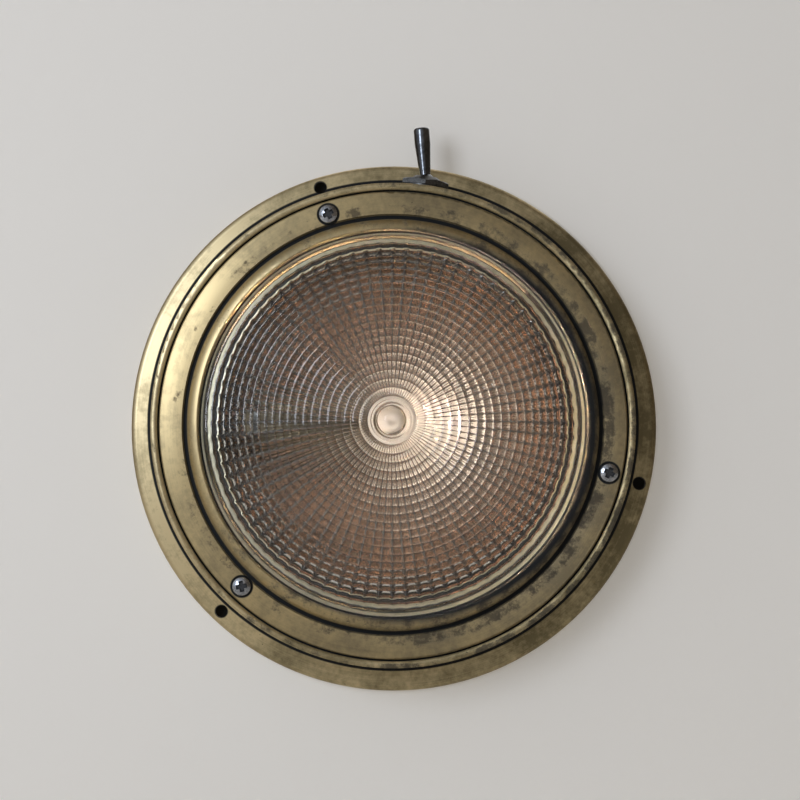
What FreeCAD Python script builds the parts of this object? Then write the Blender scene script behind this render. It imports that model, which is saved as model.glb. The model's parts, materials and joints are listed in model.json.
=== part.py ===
import FreeCAD, Part
import math
import os

# Round brass bulkhead lamp: flange, drum, bezel, pressed-glass lens and a toggle switch on its side.
# X points right and Z up. The wall is the plane y = 0 and the lamp's axis points out of it, along -Y.
# A height is a distance from the wall, so height h lies at y = -h. Lengths are millimetres, angles degrees.
# Angles round the lamp are counted from +X towards +Z.

# Spun body: flange, drum wall and rolled bead
SHEET = 1.2
DRUM_R = 85.8
FLANGE_WIDTH = 9.2
FLANGE_EDGE_H = 1.6
FLANGE_ROUND = 2.3
FLANGE_RISE = 0.5
FOOT_ROUND = 1.2
BEAD_WIDTH = 2.4
BEAD_RISE = 2.6
BEAD_CROWN = 0.6
WALL_HOLE_R = 2.15
WALL_HOLE_OUT = 5.1
WALL_HOLE_ANGLE = 107.0
WALL_HOLE_COUNT = 3

# Bezel: flat band with its screws, a dark groove, and the raised lip round the lens
BEZEL_GAP = 0.6
BEZEL_EDGE_RISE = 1.2
BEZEL_EDGE_ROUND = 0.9
BAND_WIDTH = 8.2
BAND_RISE = 0.9
BAND_CROWN = 0.25
GROOVE_WIDTH = 1.9
GROOVE_DEPTH = 1.6
LIP_WIDTH = 4.3
LIP_RISE = 3.8
LIP_ROUND = 0.7
SCREW_ANGLES = (107.1, -12.7, -133.0)
SCREW_FROM_EDGE = 4.8
SCREW_R = 1.7
SCREW_HOLE_PLAY = 0.3
SCREW_HEAD_R = 3.5
SCREW_HEAD_H = 2.0
SCREW_DOME = 0.9
SCREW_LENGTH = 14.0
SPOTFACE_R = 4.0
SPOTFACE_RISE = 0.35
CROSS_WIDTH = 1.1
CROSS_SPAN = 3.8
CROSS_DEPTH = 1.3

# Lens: ribbed glass dome with a button in the middle and a flange under the bezel
DOME_RISE = 28.8
DOME_EDGE_OVER_FLANGE = 1.5
GLASS = 4.0
LENS_PLAY = 0.3
LENS_FLANGE = 2.7
LENS_FLANGE_T = 2.5
SEAT_REACH = 6.6
GASKET_T = 1.0
GASKET_SETBACK = 4.4
RIB_PITCH = 3.04
RIB_HEIGHT = 0.4
RIB_START = 8.0
EDGE_PLAIN = 0.8
KNOB_R = 4.9
KNOB_RISE = 2.4
KNOB_RING_RISE = 0.8

# Toggle switch, carried by its threaded bushing in the drum wall
SWITCH_ANGLE = 82.4
BUSHING_R = 5.95
BUSHING_BORE = 3.5
BUSHING_OUT = 4.2
BUSHING_CHAMFER = 1.2
BUSHING_HOLE_PLAY = 0.25
NUT_FLATS = 16.5
NUT_T = 2.0
NUT_CHAMFER = 30.0
NUT_OVER_FLANGE = 0.5
WASHER_R = 7.8
WASHER_T = 0.6
BACK_NUT_FLATS = 13.0
BACK_NUT_T = 1.8
LEVER_TILT = 12.0
LEVER_BALL_R = 3.4
LEVER_BASE_R = 1.95
LEVER_TIP_R = 2.85
LEVER_LENGTH = 19.8
LEVER_TIP_ROUND = 1.0
PIVOT_DEPTH = 2.0
PIVOT_PIN_R = 0.8
PIVOT_PLAY = 0.05
TAIL_R = 2.3
TAIL_LENGTH = 9.0
PLUNGER_R = 1.5
PLUNGER_REACH = 14.0
PLUNGER_STEM_R = 0.8
PLUNGER_STEM = 3.0
SWITCH_BODY_L = 26.0
SWITCH_BODY_W = 13.0
SWITCH_BODY_T = 13.4
SWITCH_WALL = 2.1
SWITCH_END_WALL = 3.7
SWITCH_FLOOR = 1.3
SWITCH_ROOM = 0.4
STRAP_T = 1.0
STRAP_ARM = 7.0
ROCKER_FROM_PIVOT = 17.0
ROCKER_TILT = 7.0
ROCKER_SLOPE = 12.0
ROCKER_END_GAP = 0.9
ROCKER_WIDTH = 6.0
ROCKER_T = 0.8
ROCKER_PIN_R = 0.8
ROCKER_UNDER_TIP = 0.15
CONTACT_FROM_END = 1.5
CONTACT_R = 1.2
CONTACT_GAP = 0.15
TAB_WIDTH = 4.5
TAB_T = 0.8
TAB_LENGTH = 6.3

# Back plate with its posts, terminal block, earth stud and cable bush
PLATE_T = 1.5
PLATE_GAP = 0.8
BOSS_R = 4.0
BOSS_THREAD_PLAY = 0.05
PLATE_SCREW_HEAD_R = 3.0
PLATE_SCREW_LENGTH = 8.0
POST_R = 3.0
POST_SPIGOT_R = 1.5
POST_THREAD_R = 1.25
POST_THREAD_DEPTH = 6.0
SPIGOT_PLAY = 0.03
CABLE_X = 0.0
CABLE_Z = 24.0
CABLE_BORE_R = 4.0
BUSH_WALL = 2.0
BUSH_FLANGE = 2.5
BUSH_FLANGE_T = 2.0
BLOCK_POLES = 3
BLOCK_PITCH = 10.0
BLOCK_DEPTH = 16.0
BLOCK_H = 9.0
BLOCK_Z = -30.0
BLOCK_WIRE_H = 3.6
BLOCK_CLAMP_R = 2.2
BLOCK_SCREW_R = 1.3
BLOCK_SCREW_DROP = 0.6
BLOCK_SCREW_FROM_END = 3.2
BLOCK_FIX_R = 1.2
BLOCK_FIX_HEAD_R = 2.2
BLOCK_FIX_HEAD_H = 1.4
EARTH_X = -24.0
EARTH_Z = 26.0
EARTH_R = 2.0
EARTH_LENGTH = 8.5
EARTH_NUT_FLATS = 7.0
EARTH_NUT_T = 3.0
EARTH_TAG_R = 4.0
EARTH_TAG_T = 0.8
EARTH_BARREL_R = 1.6
EARTH_BARREL_START = 5.2
EARTH_BARREL_END = 10.5
EARTH_TAG_TURN = -45.0

# Reflector and lampholder
REFLECTOR_OVER_BLOCK = 0.9
REFLECTOR_T = 0.8
REFLECTOR_BRIM = 11.1
REFLECTOR_RISE = 6.0
REFLECTOR_FROM_TAB = 1.6
REFLECTOR_SCREW_R = 1.2
REFLECTOR_SCREW_PLAY = 0.4
REFLECTOR_HEAD_R = 2.6
REFLECTOR_HEAD_H = 1.6
POST_FAR_X = 32.0
POST_FAR_Z = 22.0
BRACKET_POSTS_FROM_BACK = (6.0, 19.0)
BRACKET_T = 1.5
BRACKET_WIDTH = 14.0
BRACKET_FOOT = 24.0
BRACKET_OVER_HOLE = 9.0
WIRE_NOTCH_W = 8.0
WIRE_NOTCH_L = 9.0
HOLDER_FROM_DROP = 12.6
HOLDER_LENGTH = 33.0
HOLDER_BORE_PLAY = 0.15
HOLDER_WALL = 1.4
HOLDER_BACK_T = 1.0
NIPPLE_R = 5.0
NIPPLE_BORE = 3.6
NIPPLE_LENGTH = 6.0
NIPPLE_PLAY = 0.1
HOLDER_NUT_FLATS = 13.0
HOLDER_NUT_T = 2.2
INSULATOR_REACH = 13.0
INSULATOR_PLAY = 0.1
CONTACT_SPREAD = 3.4
ROD_R = 1.2
ROD_BEHIND = 7.0
ROD_PLAY = 0.08
ROD_HEAD_R = 2.1
ROD_HEAD_T = 2.0
COIL_WIRE = 0.4
COIL_TURNS = 4
COIL_AIR = 0.15

# Bayonet bulb
BULB_R = 14.0
BULB_GLASS = 0.8
BULB_FROM_INSULATOR = 7.0
BULB_LENGTH = 57.0
BULB_OVER_REFLECTOR = 1.0
CAP_R = 7.6
CAP_WALL = 0.4
CAP_LENGTH = 18.0
CAP_PIN_R = 1.0
CAP_PIN_OUT = 1.4
CAP_PIN_FROM_END = 6.5
PUSH_TRAVEL = 2.0
SLOT_PLAY = 0.12
SLOT_TURN = 36.0
SLOT_STEPS = 6
BASE_T = 2.5
SOLDER_R = 1.6
SOLDER_T = 0.8
NECK_PLAY = 0.1
NECK_IN_CAP = 4.5
STEM_R = 2.6
STEM_FLARE = 4.8
STEM_LENGTH = 10.5
FILAMENT_OVER_STEM = 14.0
FILAMENT_HALF = 7.5
FILAMENT_DIP = 4.0
FILAMENT_D = 0.5
LEAD_D = 0.7
LEAD_AT = 1.6
LEAD_STRAIGHT = 5.0

# Wires inside the lamp
WIRE_D = 2.0
WIRE_SPREAD = 1.7
WIRE_IN_BLOCK = 3.0
WIRE_HOLE_PLAY = 0.3
WIRE_DROP_IN = 1.5
WIRE_LOW_H = 6.6
WIRE_CROSS_H = 7.6
NEUTRAL_BENDS = ((-42.0, -9.0), (-20.0, -9.0))
SWITCHED_BEND_LEFT = (-50.0, 24.0)
SWITCHED_BEND_TOP = (-30.0, 40.0)
SWITCHED_NEAR_TAB = (-15.0, 44.0)
FEED_BENDS = ((20.0, 34.0), (18.0, 10.0))
EARTH_BEND = (-4.0, 1.0)
TAB_BEND_R = 49.0
ARC_SHARE = 0.45

FACE_GAP = 0.03
CUT_OVER = 1.0
TINY = 1e-6
HEX_SIDES = 6
ARC_MID = 1 - math.sqrt(0.5)


def corner_radius(flats):
    """Radius over the corners of a hexagon."""
    return flats / 2 / math.cos(math.pi / HEX_SIDES)


# Radii that follow from the driving ones
drum_inner_r = DRUM_R - SHEET
flange_r = DRUM_R + FLANGE_WIDTH
wall_hole_circle_r = DRUM_R + WALL_HOLE_OUT
bead_inner_r = DRUM_R - BEAD_WIDTH
bezel_r = bead_inner_r - BEZEL_GAP
band_inner_r = bezel_r - BAND_WIDTH
groove_r = band_inner_r - GROOVE_WIDTH / 2
lip_foot_r = band_inner_r - GROOVE_WIDTH
lip_inner_r = lip_foot_r - LIP_WIDTH
lens_r = lip_inner_r - LENS_PLAY
lens_flange_r = lens_r + LENS_FLANGE
bezel_recess_r = lens_flange_r + LENS_PLAY
seat_inner_r = lens_r - SEAT_REACH
screw_circle_r = bezel_r - SCREW_FROM_EDGE
plate_r = drum_inner_r - PLATE_GAP

# Heights, from the wall up
flange_face_h = FLANGE_EDGE_H + FLANGE_ROUND
flange_top_h = flange_face_h + FLANGE_RISE
switch_h = flange_top_h + NUT_OVER_FLANGE + corner_radius(NUT_FLATS)
seat_under_h = switch_h + SWITCH_BODY_W / 2 + SWITCH_ROOM
seat_h = seat_under_h + SHEET
bead_top_h = seat_h + BEAD_RISE
edge_top_h = seat_h + BEZEL_EDGE_RISE + BEZEL_EDGE_ROUND
band_top_h = edge_top_h + BAND_RISE
groove_floor_h = band_top_h - GROOVE_DEPTH
lip_top_h = band_top_h + LIP_RISE
lens_under_h = seat_h + GASKET_T
lens_flange_top_h = lens_under_h + LENS_FLANGE_T
dome_edge_h = lens_flange_top_h + DOME_EDGE_OVER_FLANGE
dome_r = (lens_r ** 2 + DOME_RISE ** 2) / (2 * DOME_RISE)
dome_top_h = dome_edge_h + DOME_RISE
dome_centre_h = dome_top_h - dome_r
spotface_h = edge_top_h + SPOTFACE_RISE
reflector_under_h = PLATE_T + BLOCK_H + REFLECTOR_OVER_BLOCK
reflector_floor_h = reflector_under_h + REFLECTOR_T
bulb_h = reflector_floor_h + BULB_OVER_REFLECTOR + BULB_R

# The switch's stations along its own axis, as radii from the lamp's axis
washer_r0 = DRUM_R + FACE_GAP
nut_r0 = washer_r0 + WASHER_T + FACE_GAP
bushing_top_r = DRUM_R + BUSHING_OUT
pivot_r = bushing_top_r - PIVOT_DEPTH
back_nut_top_r = math.sqrt(drum_inner_r ** 2 - corner_radius(BACK_NUT_FLATS) ** 2) - FACE_GAP
strap_top_r = back_nut_top_r - BACK_NUT_T - FACE_GAP
switch_body_top_r = strap_top_r - STRAP_T - FACE_GAP
switch_body_low_r = switch_body_top_r - SWITCH_BODY_T
switch_floor_r = switch_body_low_r + SWITCH_FLOOR
rocker_r = pivot_r - ROCKER_FROM_PIVOT
tab_end_r = switch_body_low_r - TAB_LENGTH
reflector_r = tab_end_r - REFLECTOR_FROM_TAB
reflector_floor_r = reflector_r - REFLECTOR_BRIM
rocker_half = SWITCH_BODY_L / 2 - SWITCH_END_WALL - ROCKER_END_GAP
contact_at = rocker_half - CONTACT_FROM_END
tail_bore_r = PLUNGER_STEM_R + 2 * COIL_WIRE

# Wire drop, lampholder and bulb stations along the bulb's axis, in from the reflector's rim
wire_drop_x = WIRE_DROP_IN - reflector_r
holder_back_x = wire_drop_x + HOLDER_FROM_DROP
holder_mouth_x = holder_back_x + HOLDER_LENGTH
bracket_posts_x = [holder_back_x + reach for reach in BRACKET_POSTS_FROM_BACK]
bracket_foot_end_x = holder_back_x + BRACKET_FOOT
insulator_front_x = holder_back_x + INSULATOR_REACH
rod_end_x = insulator_front_x - ROD_BEHIND
bulb_end_x = insulator_front_x + BULB_FROM_INSULATOR
cap_front_x = bulb_end_x + CAP_LENGTH
cap_pin_x = bulb_end_x + CAP_PIN_FROM_END
neck_x = cap_front_x - NECK_IN_CAP
stem_end_x = neck_x + STEM_LENGTH
filament_x = stem_end_x + FILAMENT_OVER_STEM
holder_bore_r = CAP_R + HOLDER_BORE_PLAY
holder_r = holder_bore_r + HOLDER_WALL
bracket_front_x = holder_back_x - FACE_GAP
bracket_back_x = bracket_front_x - BRACKET_T
rod_front_x = bulb_end_x - SOLDER_T - FACE_GAP
insulator_back_x = holder_back_x + HOLDER_BACK_T + FACE_GAP
bulb_tip_x = bulb_end_x + BULB_LENGTH
block_wire_h = PLATE_T + BLOCK_WIRE_H
block_top_h = PLATE_T + BLOCK_H
block_length = BLOCK_POLES * BLOCK_PITCH
pole_xs = [(pole - (BLOCK_POLES - 1) / 2) * BLOCK_PITCH for pole in range(BLOCK_POLES)]
post_places = [(x, 0.0) for x in bracket_posts_x] + [(POST_FAR_X, side * POST_FAR_Z) for side in (-1, 1)]

V = FreeCAD.Vector
RIGHT = V(1, 0, 0)
UP = V(0, 0, 1)
OUT = V(0, -1, 0)
INTO_WALL = V(0, 1, 0)
CENTRE = V(0, 0, 0)


def point(x, z, height):
    return V(x, -height, z)


def round_lamp(radius, angle, height):
    """Point at a radius and an angle round the lamp's axis."""
    turn = math.radians(angle)
    return point(radius * math.cos(turn), radius * math.sin(turn), height)


def spin(outline, base=CENTRE, along=OUT, outward=RIGHT):
    """Solid of revolution about the line from base along the given direction.

    outline lists (radius, distance) corners; four numbers are an arc through one pair to the next."""

    def place(radius, distance):
        return base + outward * radius + along * distance

    edges = []
    here = place(*outline[0])
    for corner in outline[1:] + outline[:1]:
        there = place(*corner[-2:])
        if len(corner) == 4:
            edges.append(Part.Arc(here, place(*corner[:2]), there).toShape())
        elif here.distanceToPoint(there) > TINY:
            edges.append(Part.LineSegment(here, there).toShape())
        here = there
    solid = Part.Face(Part.Wire(edges)).revolve(base, along, 360)
    return solid if solid.Volume > 0 else solid.reversed()


def crown(radius, foot, rise):
    """Outline of a round crown over a foot: the edge corner, and the arc from it to the axis."""
    ball = (radius ** 2 + rise ** 2) / (2 * rise)
    mid_r = radius / 2
    mid_drop = ball - math.sqrt(ball ** 2 - mid_r ** 2)
    return [(radius, foot), (mid_r, foot + rise - mid_drop, 0, foot + rise)]


def rod(radius, start, direction, length):
    return Part.makeCylinder(radius, length, start, direction)


def tube(outer_r, inner_r, start, direction, length):
    return rod(outer_r, start, direction, length).cut(rod(inner_r, start, direction, length))


def block(low, high):
    """Box between two corners, given in any order."""
    corner = V(min(low.x, high.x), min(low.y, high.y), min(low.z, high.z))
    size = V(abs(high.x - low.x), abs(high.y - low.y), abs(high.z - low.z))
    return Part.makeBox(size.x, size.y, size.z, corner)


def turned(shape, base, axis, angle):
    copy = shape.copy()
    copy.rotate(base, axis, angle)
    return copy


def hexagon(flats, start, direction, length, corner_way):
    """Hexagonal prism with one corner pointing corner_way."""
    turn = FreeCAD.Rotation(direction, 360 / HEX_SIDES)
    spoke = corner_way * corner_radius(flats)
    corners = []
    for _ in range(HEX_SIDES):
        corners.append(start + spoke)
        spoke = turn.multVec(spoke)
    return Part.Face(Part.makePolygon(corners + corners[:1])).extrude(direction * length)


def group(solids):
    return Part.makeCompound(list(solids))


def joined(first, *others):
    return first.fuse(list(others)).removeSplitter()


def round_path(points):
    """Straight runs joined by tangent arcs, each as large as its two runs allow, and the arcs' radii."""
    edges = []
    radii = []
    here = points[0]
    for before, corner, after in zip(points, points[1:], points[2:]):
        back = before - corner
        ahead = after - corner
        reach = ARC_SHARE * min(back.Length, ahead.Length)
        back.normalize()
        ahead.normalize()
        half_turn = (math.pi - back.getAngle(ahead)) / 2
        radius = reach / math.tan(half_turn)
        middle_way = back + ahead
        middle_way.normalize()
        middle = corner + middle_way * (radius / math.cos(half_turn) - radius)
        enter = corner + back * reach
        leave = corner + ahead * reach
        edges.append(Part.LineSegment(here, enter).toShape())
        edges.append(Part.Arc(enter, middle, leave).toShape())
        radii.append(radius)
        here = leave
    edges.append(Part.LineSegment(here, points[-1]).toShape())
    return Part.Wire(edges), radii


def wire_tube(name, points, diameter):
    path, radii = round_path(points)
    way = points[1] - points[0]
    section = Part.Wire(Part.Circle(points[0], way, diameter / 2).toShape())
    tube_solid = path.makePipeShell([section], True, True)
    full = math.pi * (diameter / 2) ** 2 * path.Length
    print(name, "length", round(path.Length, 1), "radii", [round(r, 1) for r in radii],
          "volume ratio", round(tube_solid.Volume / full, 4))
    return tube_solid


def coil(base, along, mean_r, wire_d, length, turns):
    """Compression spring of round wire between two stations on an axis."""
    rise = length - wire_d
    helix = Part.makeHelix(rise / turns, rise, mean_r)
    section = Part.Wire(Part.Circle(V(mean_r, 0, 0), INTO_WALL, wire_d / 2).toShape())
    spring = Part.Wire(helix).makePipeShell([section], True, True)
    spring.translate(UP * (wire_d / 2))
    spring.Placement = FreeCAD.Placement(base, FreeCAD.Rotation(UP, along)).multiply(spring.Placement)
    return spring


def cross_recess(at, span, width, depth):
    """Two crossed slots sunk from a screw head's crown."""
    slots = []
    for long_x, long_z in ((span, width), (width, span)):
        slots.append(block(at + V(-long_x / 2, 0, -long_z / 2), at + V(long_x / 2, depth, long_z / 2)))
    return joined(*slots)


# ---- Body, seat ring and bezel ----

def body_shell():
    """Spun brass flange and drum with a rolled bead at the front."""
    outer_round = FLANGE_ROUND * ARC_MID
    foot_mid = FOOT_ROUND * ARC_MID
    inner_r = flange_r - SHEET
    inner_round = FLANGE_ROUND - SHEET
    inner_mid = inner_round * ARC_MID
    bead_half = BEAD_WIDTH / 2
    outline = [
        (flange_r, 0),
        (flange_r, FLANGE_EDGE_H),
        (flange_r - outer_round, flange_face_h - outer_round, flange_r - FLANGE_ROUND, flange_face_h),
        (DRUM_R + FOOT_ROUND, flange_top_h),
        (DRUM_R + foot_mid, flange_top_h + foot_mid, DRUM_R, flange_top_h + FOOT_ROUND),
        (DRUM_R, bead_top_h - BEAD_CROWN),
        (DRUM_R - bead_half, bead_top_h, bead_inner_r, bead_top_h - BEAD_CROWN),
        (bead_inner_r, seat_h + FACE_GAP),
        (drum_inner_r, seat_h + FACE_GAP),
        (drum_inner_r, flange_top_h - SHEET),
        (flange_r - FLANGE_ROUND, flange_face_h - SHEET),
        (inner_r - inner_mid, FLANGE_EDGE_H + inner_round - inner_mid, inner_r, FLANGE_EDGE_H),
        (inner_r, 0),
    ]
    shell = spin(outline)
    for number in range(WALL_HOLE_COUNT):
        angle = WALL_HOLE_ANGLE + number * 360 / WALL_HOLE_COUNT
        shell = shell.cut(rod(WALL_HOLE_R, round_lamp(wall_hole_circle_r, angle, 0), OUT, bead_top_h))
    bushing_hole = rod(BUSHING_R + BUSHING_HOLE_PLAY, point(0, 0, switch_h), UP, flange_r)
    return shell.cut(at_switch(bushing_hole))


def seat_ring():
    """Flat ring soldered in the drum, on which the bezel and the lens gasket lie."""
    ring = spin([
        (seat_inner_r, seat_under_h),
        (drum_inner_r - FACE_GAP, seat_under_h),
        (drum_inner_r - FACE_GAP, seat_h),
        (seat_inner_r, seat_h),
    ])
    return ring.cut(screw_holes(seat_under_h, seat_h))


def screw_holes(low_h, high_h):
    """Clearance holes for the bezel screws between two heights."""
    length = high_h - low_h + 2 * CUT_OVER
    return group(
        rod(SCREW_R + SCREW_HOLE_PLAY, round_lamp(screw_circle_r, angle, low_h - CUT_OVER), OUT, length)
        for angle in SCREW_ANGLES
    )


def bezel_ring():
    """Brass ring that clamps the lens: crowned band, turned groove and raised lip."""
    edge_mid = BEZEL_EDGE_ROUND * ARC_MID
    band_mid_r = (bezel_r - BEZEL_EDGE_ROUND + band_inner_r) / 2
    band_mid_h = (edge_top_h + band_top_h) / 2 + BAND_CROWN
    lip_foot_h = band_top_h - GROOVE_DEPTH / 2
    lip_crest_r = lip_inner_r + LIP_ROUND
    lip_mid_r = lip_foot_r - (lip_foot_r - lip_crest_r) * ARC_MID
    lip_mid_h = lip_top_h - (lip_top_h - lip_foot_h) * ARC_MID
    inner_mid = LIP_ROUND * ARC_MID
    ring = spin([
        (bezel_recess_r, seat_h),
        (bezel_r, seat_h),
        (bezel_r, edge_top_h - BEZEL_EDGE_ROUND),
        (bezel_r - edge_mid, edge_top_h - edge_mid, bezel_r - BEZEL_EDGE_ROUND, edge_top_h),
        (band_mid_r, band_mid_h, band_inner_r, band_top_h),
        (groove_r, groove_floor_h, lip_foot_r, lip_foot_h),
        (lip_mid_r, lip_mid_h, lip_crest_r, lip_top_h),
        (lip_inner_r + inner_mid, lip_top_h - inner_mid, lip_inner_r, lip_top_h - LIP_ROUND),
        (lip_inner_r, lens_flange_top_h + FACE_GAP),
        (bezel_recess_r, lens_flange_top_h + FACE_GAP),
    ])
    spotfaces = group(
        rod(SPOTFACE_R, round_lamp(screw_circle_r, angle, spotface_h), OUT, LIP_RISE)
        for angle in SCREW_ANGLES
    )
    return ring.cut(spotfaces).cut(screw_holes(seat_h, spotface_h))


def bezel_screws():
    """Pan-head screws with crossed slots."""
    screws = []
    head_top_h = spotface_h + SCREW_HEAD_H
    for angle in SCREW_ANGLES:
        base = round_lamp(screw_circle_r, angle, 0)
        screw = spin([
            (0, spotface_h - SCREW_LENGTH),
            (SCREW_R, spotface_h - SCREW_LENGTH),
            (SCREW_R, spotface_h),
            (SCREW_HEAD_R, spotface_h),
        ] + crown(SCREW_HEAD_R, head_top_h - SCREW_DOME, SCREW_DOME), base)
        recess = cross_recess(base + OUT * head_top_h, CROSS_SPAN, CROSS_WIDTH, CROSS_DEPTH)
        screws.append(screw.cut(turned(recess, base, INTO_WALL, angle)))
    return group(screws)


def screw_bosses():
    """Tapped brass pillars between the back plate and the seat ring, under the bezel screws."""
    thread_r = SCREW_R + BOSS_THREAD_PLAY
    return group(
        tube(BOSS_R, thread_r, round_lamp(screw_circle_r, angle, PLATE_T), OUT, seat_under_h - PLATE_T)
        for angle in SCREW_ANGLES
    )


# ---- Lens ----

def on_dome(arc_length, lift=0.0):
    """Radius and height of a place on the dome, arc_length from its top."""
    slope = arc_length / dome_r
    return (dome_r + lift) * math.sin(slope), dome_centre_h + (dome_r + lift) * math.cos(slope)


def lens():
    """Pressed-glass dome with round ribs outside, a button on top and a flat flange."""
    edge_arc = dome_r * math.asin(lens_r / dome_r) - EDGE_PLAIN
    ribs = int((edge_arc - RIB_START) / RIB_PITCH)
    first = edge_arc - ribs * RIB_PITCH
    outline = [((KNOB_R + first) / 2, dome_top_h + KNOB_RING_RISE) + on_dome(first)]
    for rib in range(ribs):
        low = first + rib * RIB_PITCH
        outline.append(on_dome(low + RIB_PITCH / 2, RIB_HEIGHT) + on_dome(low + RIB_PITCH))
    inner_r = dome_r - GLASS
    foot_r = math.sqrt(inner_r ** 2 - (lens_under_h - dome_centre_h) ** 2)
    half_slope = math.asin(foot_r / inner_r) / 2
    outline += [
        (lens_r, dome_edge_h),
        (lens_r, lens_flange_top_h),
        (lens_flange_r, lens_flange_top_h),
        (lens_flange_r, lens_under_h),
        (foot_r, lens_under_h),
        (inner_r * math.sin(half_slope), dome_centre_h + inner_r * math.cos(half_slope),
         0, dome_centre_h + inner_r),
    ]
    knob_edge, knob_arc = crown(KNOB_R, dome_top_h, KNOB_RISE)
    return spin([knob_arc[-2:], knob_arc[:2] + knob_edge] + outline)


def lens_gasket():
    return tube(lens_flange_r, seat_inner_r + GASKET_SETBACK, point(0, 0, seat_h), OUT, GASKET_T)


# ---- Back plate and what it carries ----

def back_plate():
    """Steel disc, flush with the wall, that carries the inner parts."""
    plate = rod(plate_r, CENTRE, OUT, PLATE_T)
    cuts = [rod(CABLE_BORE_R + BUSH_WALL + FACE_GAP, point(CABLE_X, CABLE_Z, 0), OUT, PLATE_T)]
    for angle in SCREW_ANGLES:
        cuts.append(spin([
            (0, 0),
            (PLATE_SCREW_HEAD_R + SPIGOT_PLAY, 0),
            (SCREW_R + SPIGOT_PLAY, PLATE_SCREW_HEAD_R - SCREW_R),
            (SCREW_R + SPIGOT_PLAY, PLATE_T),
            (0, PLATE_T),
        ], round_lamp(screw_circle_r, angle, 0)))
    for x, z in post_places:
        cuts.append(rod(POST_SPIGOT_R + SPIGOT_PLAY, point(x, z, 0), OUT, PLATE_T))
    for x in block_fix_xs():
        cuts.append(rod(BLOCK_FIX_R + SPIGOT_PLAY, point(x, BLOCK_Z, 0), OUT, PLATE_T))
    cuts.append(rod(EARTH_R + SPIGOT_PLAY, point(EARTH_X, EARTH_Z, 0), OUT, PLATE_T))
    return plate.cut(group(cuts))


def back_plate_screws():
    """Countersunk screws from behind, into the bosses."""
    return group(
        spin([
            (0, 0),
            (PLATE_SCREW_HEAD_R, 0),
            (SCREW_R, PLATE_SCREW_HEAD_R - SCREW_R),
            (SCREW_R, PLATE_SCREW_LENGTH),
            (0, PLATE_SCREW_LENGTH),
        ], round_lamp(screw_circle_r, angle, 0))
        for angle in SCREW_ANGLES
    )


def cable_bush():
    """Rubber bush in the back plate, through which the supply cable enters."""
    place = point(CABLE_X, CABLE_Z, 0)
    outer_r = CABLE_BORE_R + BUSH_WALL
    top_h = PLATE_T + BUSH_FLANGE_T
    return spin([
        (CABLE_BORE_R, 0),
        (outer_r, 0),
        (outer_r, PLATE_T + FACE_GAP),
        (outer_r + BUSH_FLANGE, PLATE_T + FACE_GAP),
        (outer_r + BUSH_FLANGE, top_h - BUSH_FLANGE_T / 4),
        (outer_r, top_h),
        (CABLE_BORE_R, top_h),
    ], place)


def reflector_posts():
    """Riveted posts that carry the reflector."""
    posts = []
    for x, z in post_places:
        post = joined(
            rod(POST_R, point(x, z, PLATE_T), OUT, reflector_under_h - PLATE_T),
            rod(POST_SPIGOT_R, point(x, z, 0), OUT, PLATE_T + CUT_OVER),
        )
        thread_at = point(x, z, reflector_under_h - POST_THREAD_DEPTH)
        posts.append(post.cut(rod(POST_THREAD_R, thread_at, OUT, POST_THREAD_DEPTH)))
    return group(posts)


def block_fix_xs():
    return [side * BLOCK_PITCH / 2 for side in (-1, 1)]


def terminal_block():
    """Moulded block with a clamp bore for each pole, its screw wells and its two fixing holes."""
    half_l = block_length / 2
    half_d = BLOCK_DEPTH / 2
    body = block(point(-half_l, BLOCK_Z - half_d, PLATE_T), point(half_l, BLOCK_Z + half_d, block_top_h))
    cuts = []
    for x in pole_xs:
        cuts.append(rod(BLOCK_CLAMP_R, point(x, BLOCK_Z - half_d, block_wire_h), UP, BLOCK_DEPTH))
        for side in (-1, 1):
            z = BLOCK_Z + side * (half_d - BLOCK_SCREW_FROM_END)
            cuts.append(rod(BLOCK_CLAMP_R, point(x, z, block_wire_h), OUT, BLOCK_H))
    for x in block_fix_xs():
        cuts.append(rod(BLOCK_FIX_R + SPIGOT_PLAY, point(x, BLOCK_Z, PLATE_T), OUT, BLOCK_H))
        head_floor_h = block_top_h - BLOCK_FIX_HEAD_H
        cuts.append(rod(BLOCK_FIX_HEAD_R + SPIGOT_PLAY, point(x, BLOCK_Z, head_floor_h), OUT, BLOCK_H))
    return body.cut(group(cuts))


def terminal_clamps():
    """Brass tubes inside the block, drilled for the wires and tapped for the screws."""
    clamps = []
    outer_r = BLOCK_CLAMP_R - FACE_GAP
    length = BLOCK_DEPTH - 2 * BLOCK_SCREW_DROP
    for x in pole_xs:
        start = point(x, BLOCK_Z - length / 2, block_wire_h)
        clamp = tube(outer_r, WIRE_D / 2 + WIRE_HOLE_PLAY, start, UP, length)
        for side in (-1, 1):
            z = BLOCK_Z + side * (BLOCK_DEPTH / 2 - BLOCK_SCREW_FROM_END)
            clamp = clamp.cut(rod(BLOCK_SCREW_R + SPIGOT_PLAY, point(x, z, block_wire_h), OUT, BLOCK_H))
        clamps.append(clamp)
    return group(clamps)


def terminal_screws():
    screws = []
    low_h = block_wire_h + WIRE_D / 2 + FACE_GAP
    top_h = block_top_h - BLOCK_SCREW_DROP
    for x in pole_xs:
        for side in (-1, 1):
            z = BLOCK_Z + side * (BLOCK_DEPTH / 2 - BLOCK_SCREW_FROM_END)
            screw = rod(BLOCK_SCREW_R, point(x, z, low_h), OUT, top_h - low_h)
            slot_half = BLOCK_SCREW_R / 4
            slot = block(
                point(x - BLOCK_SCREW_R, z - slot_half, top_h - BLOCK_SCREW_R / 2),
                point(x + BLOCK_SCREW_R, z + slot_half, top_h),
            )
            screws.append(screw.cut(slot))
    return group(screws)


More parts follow.
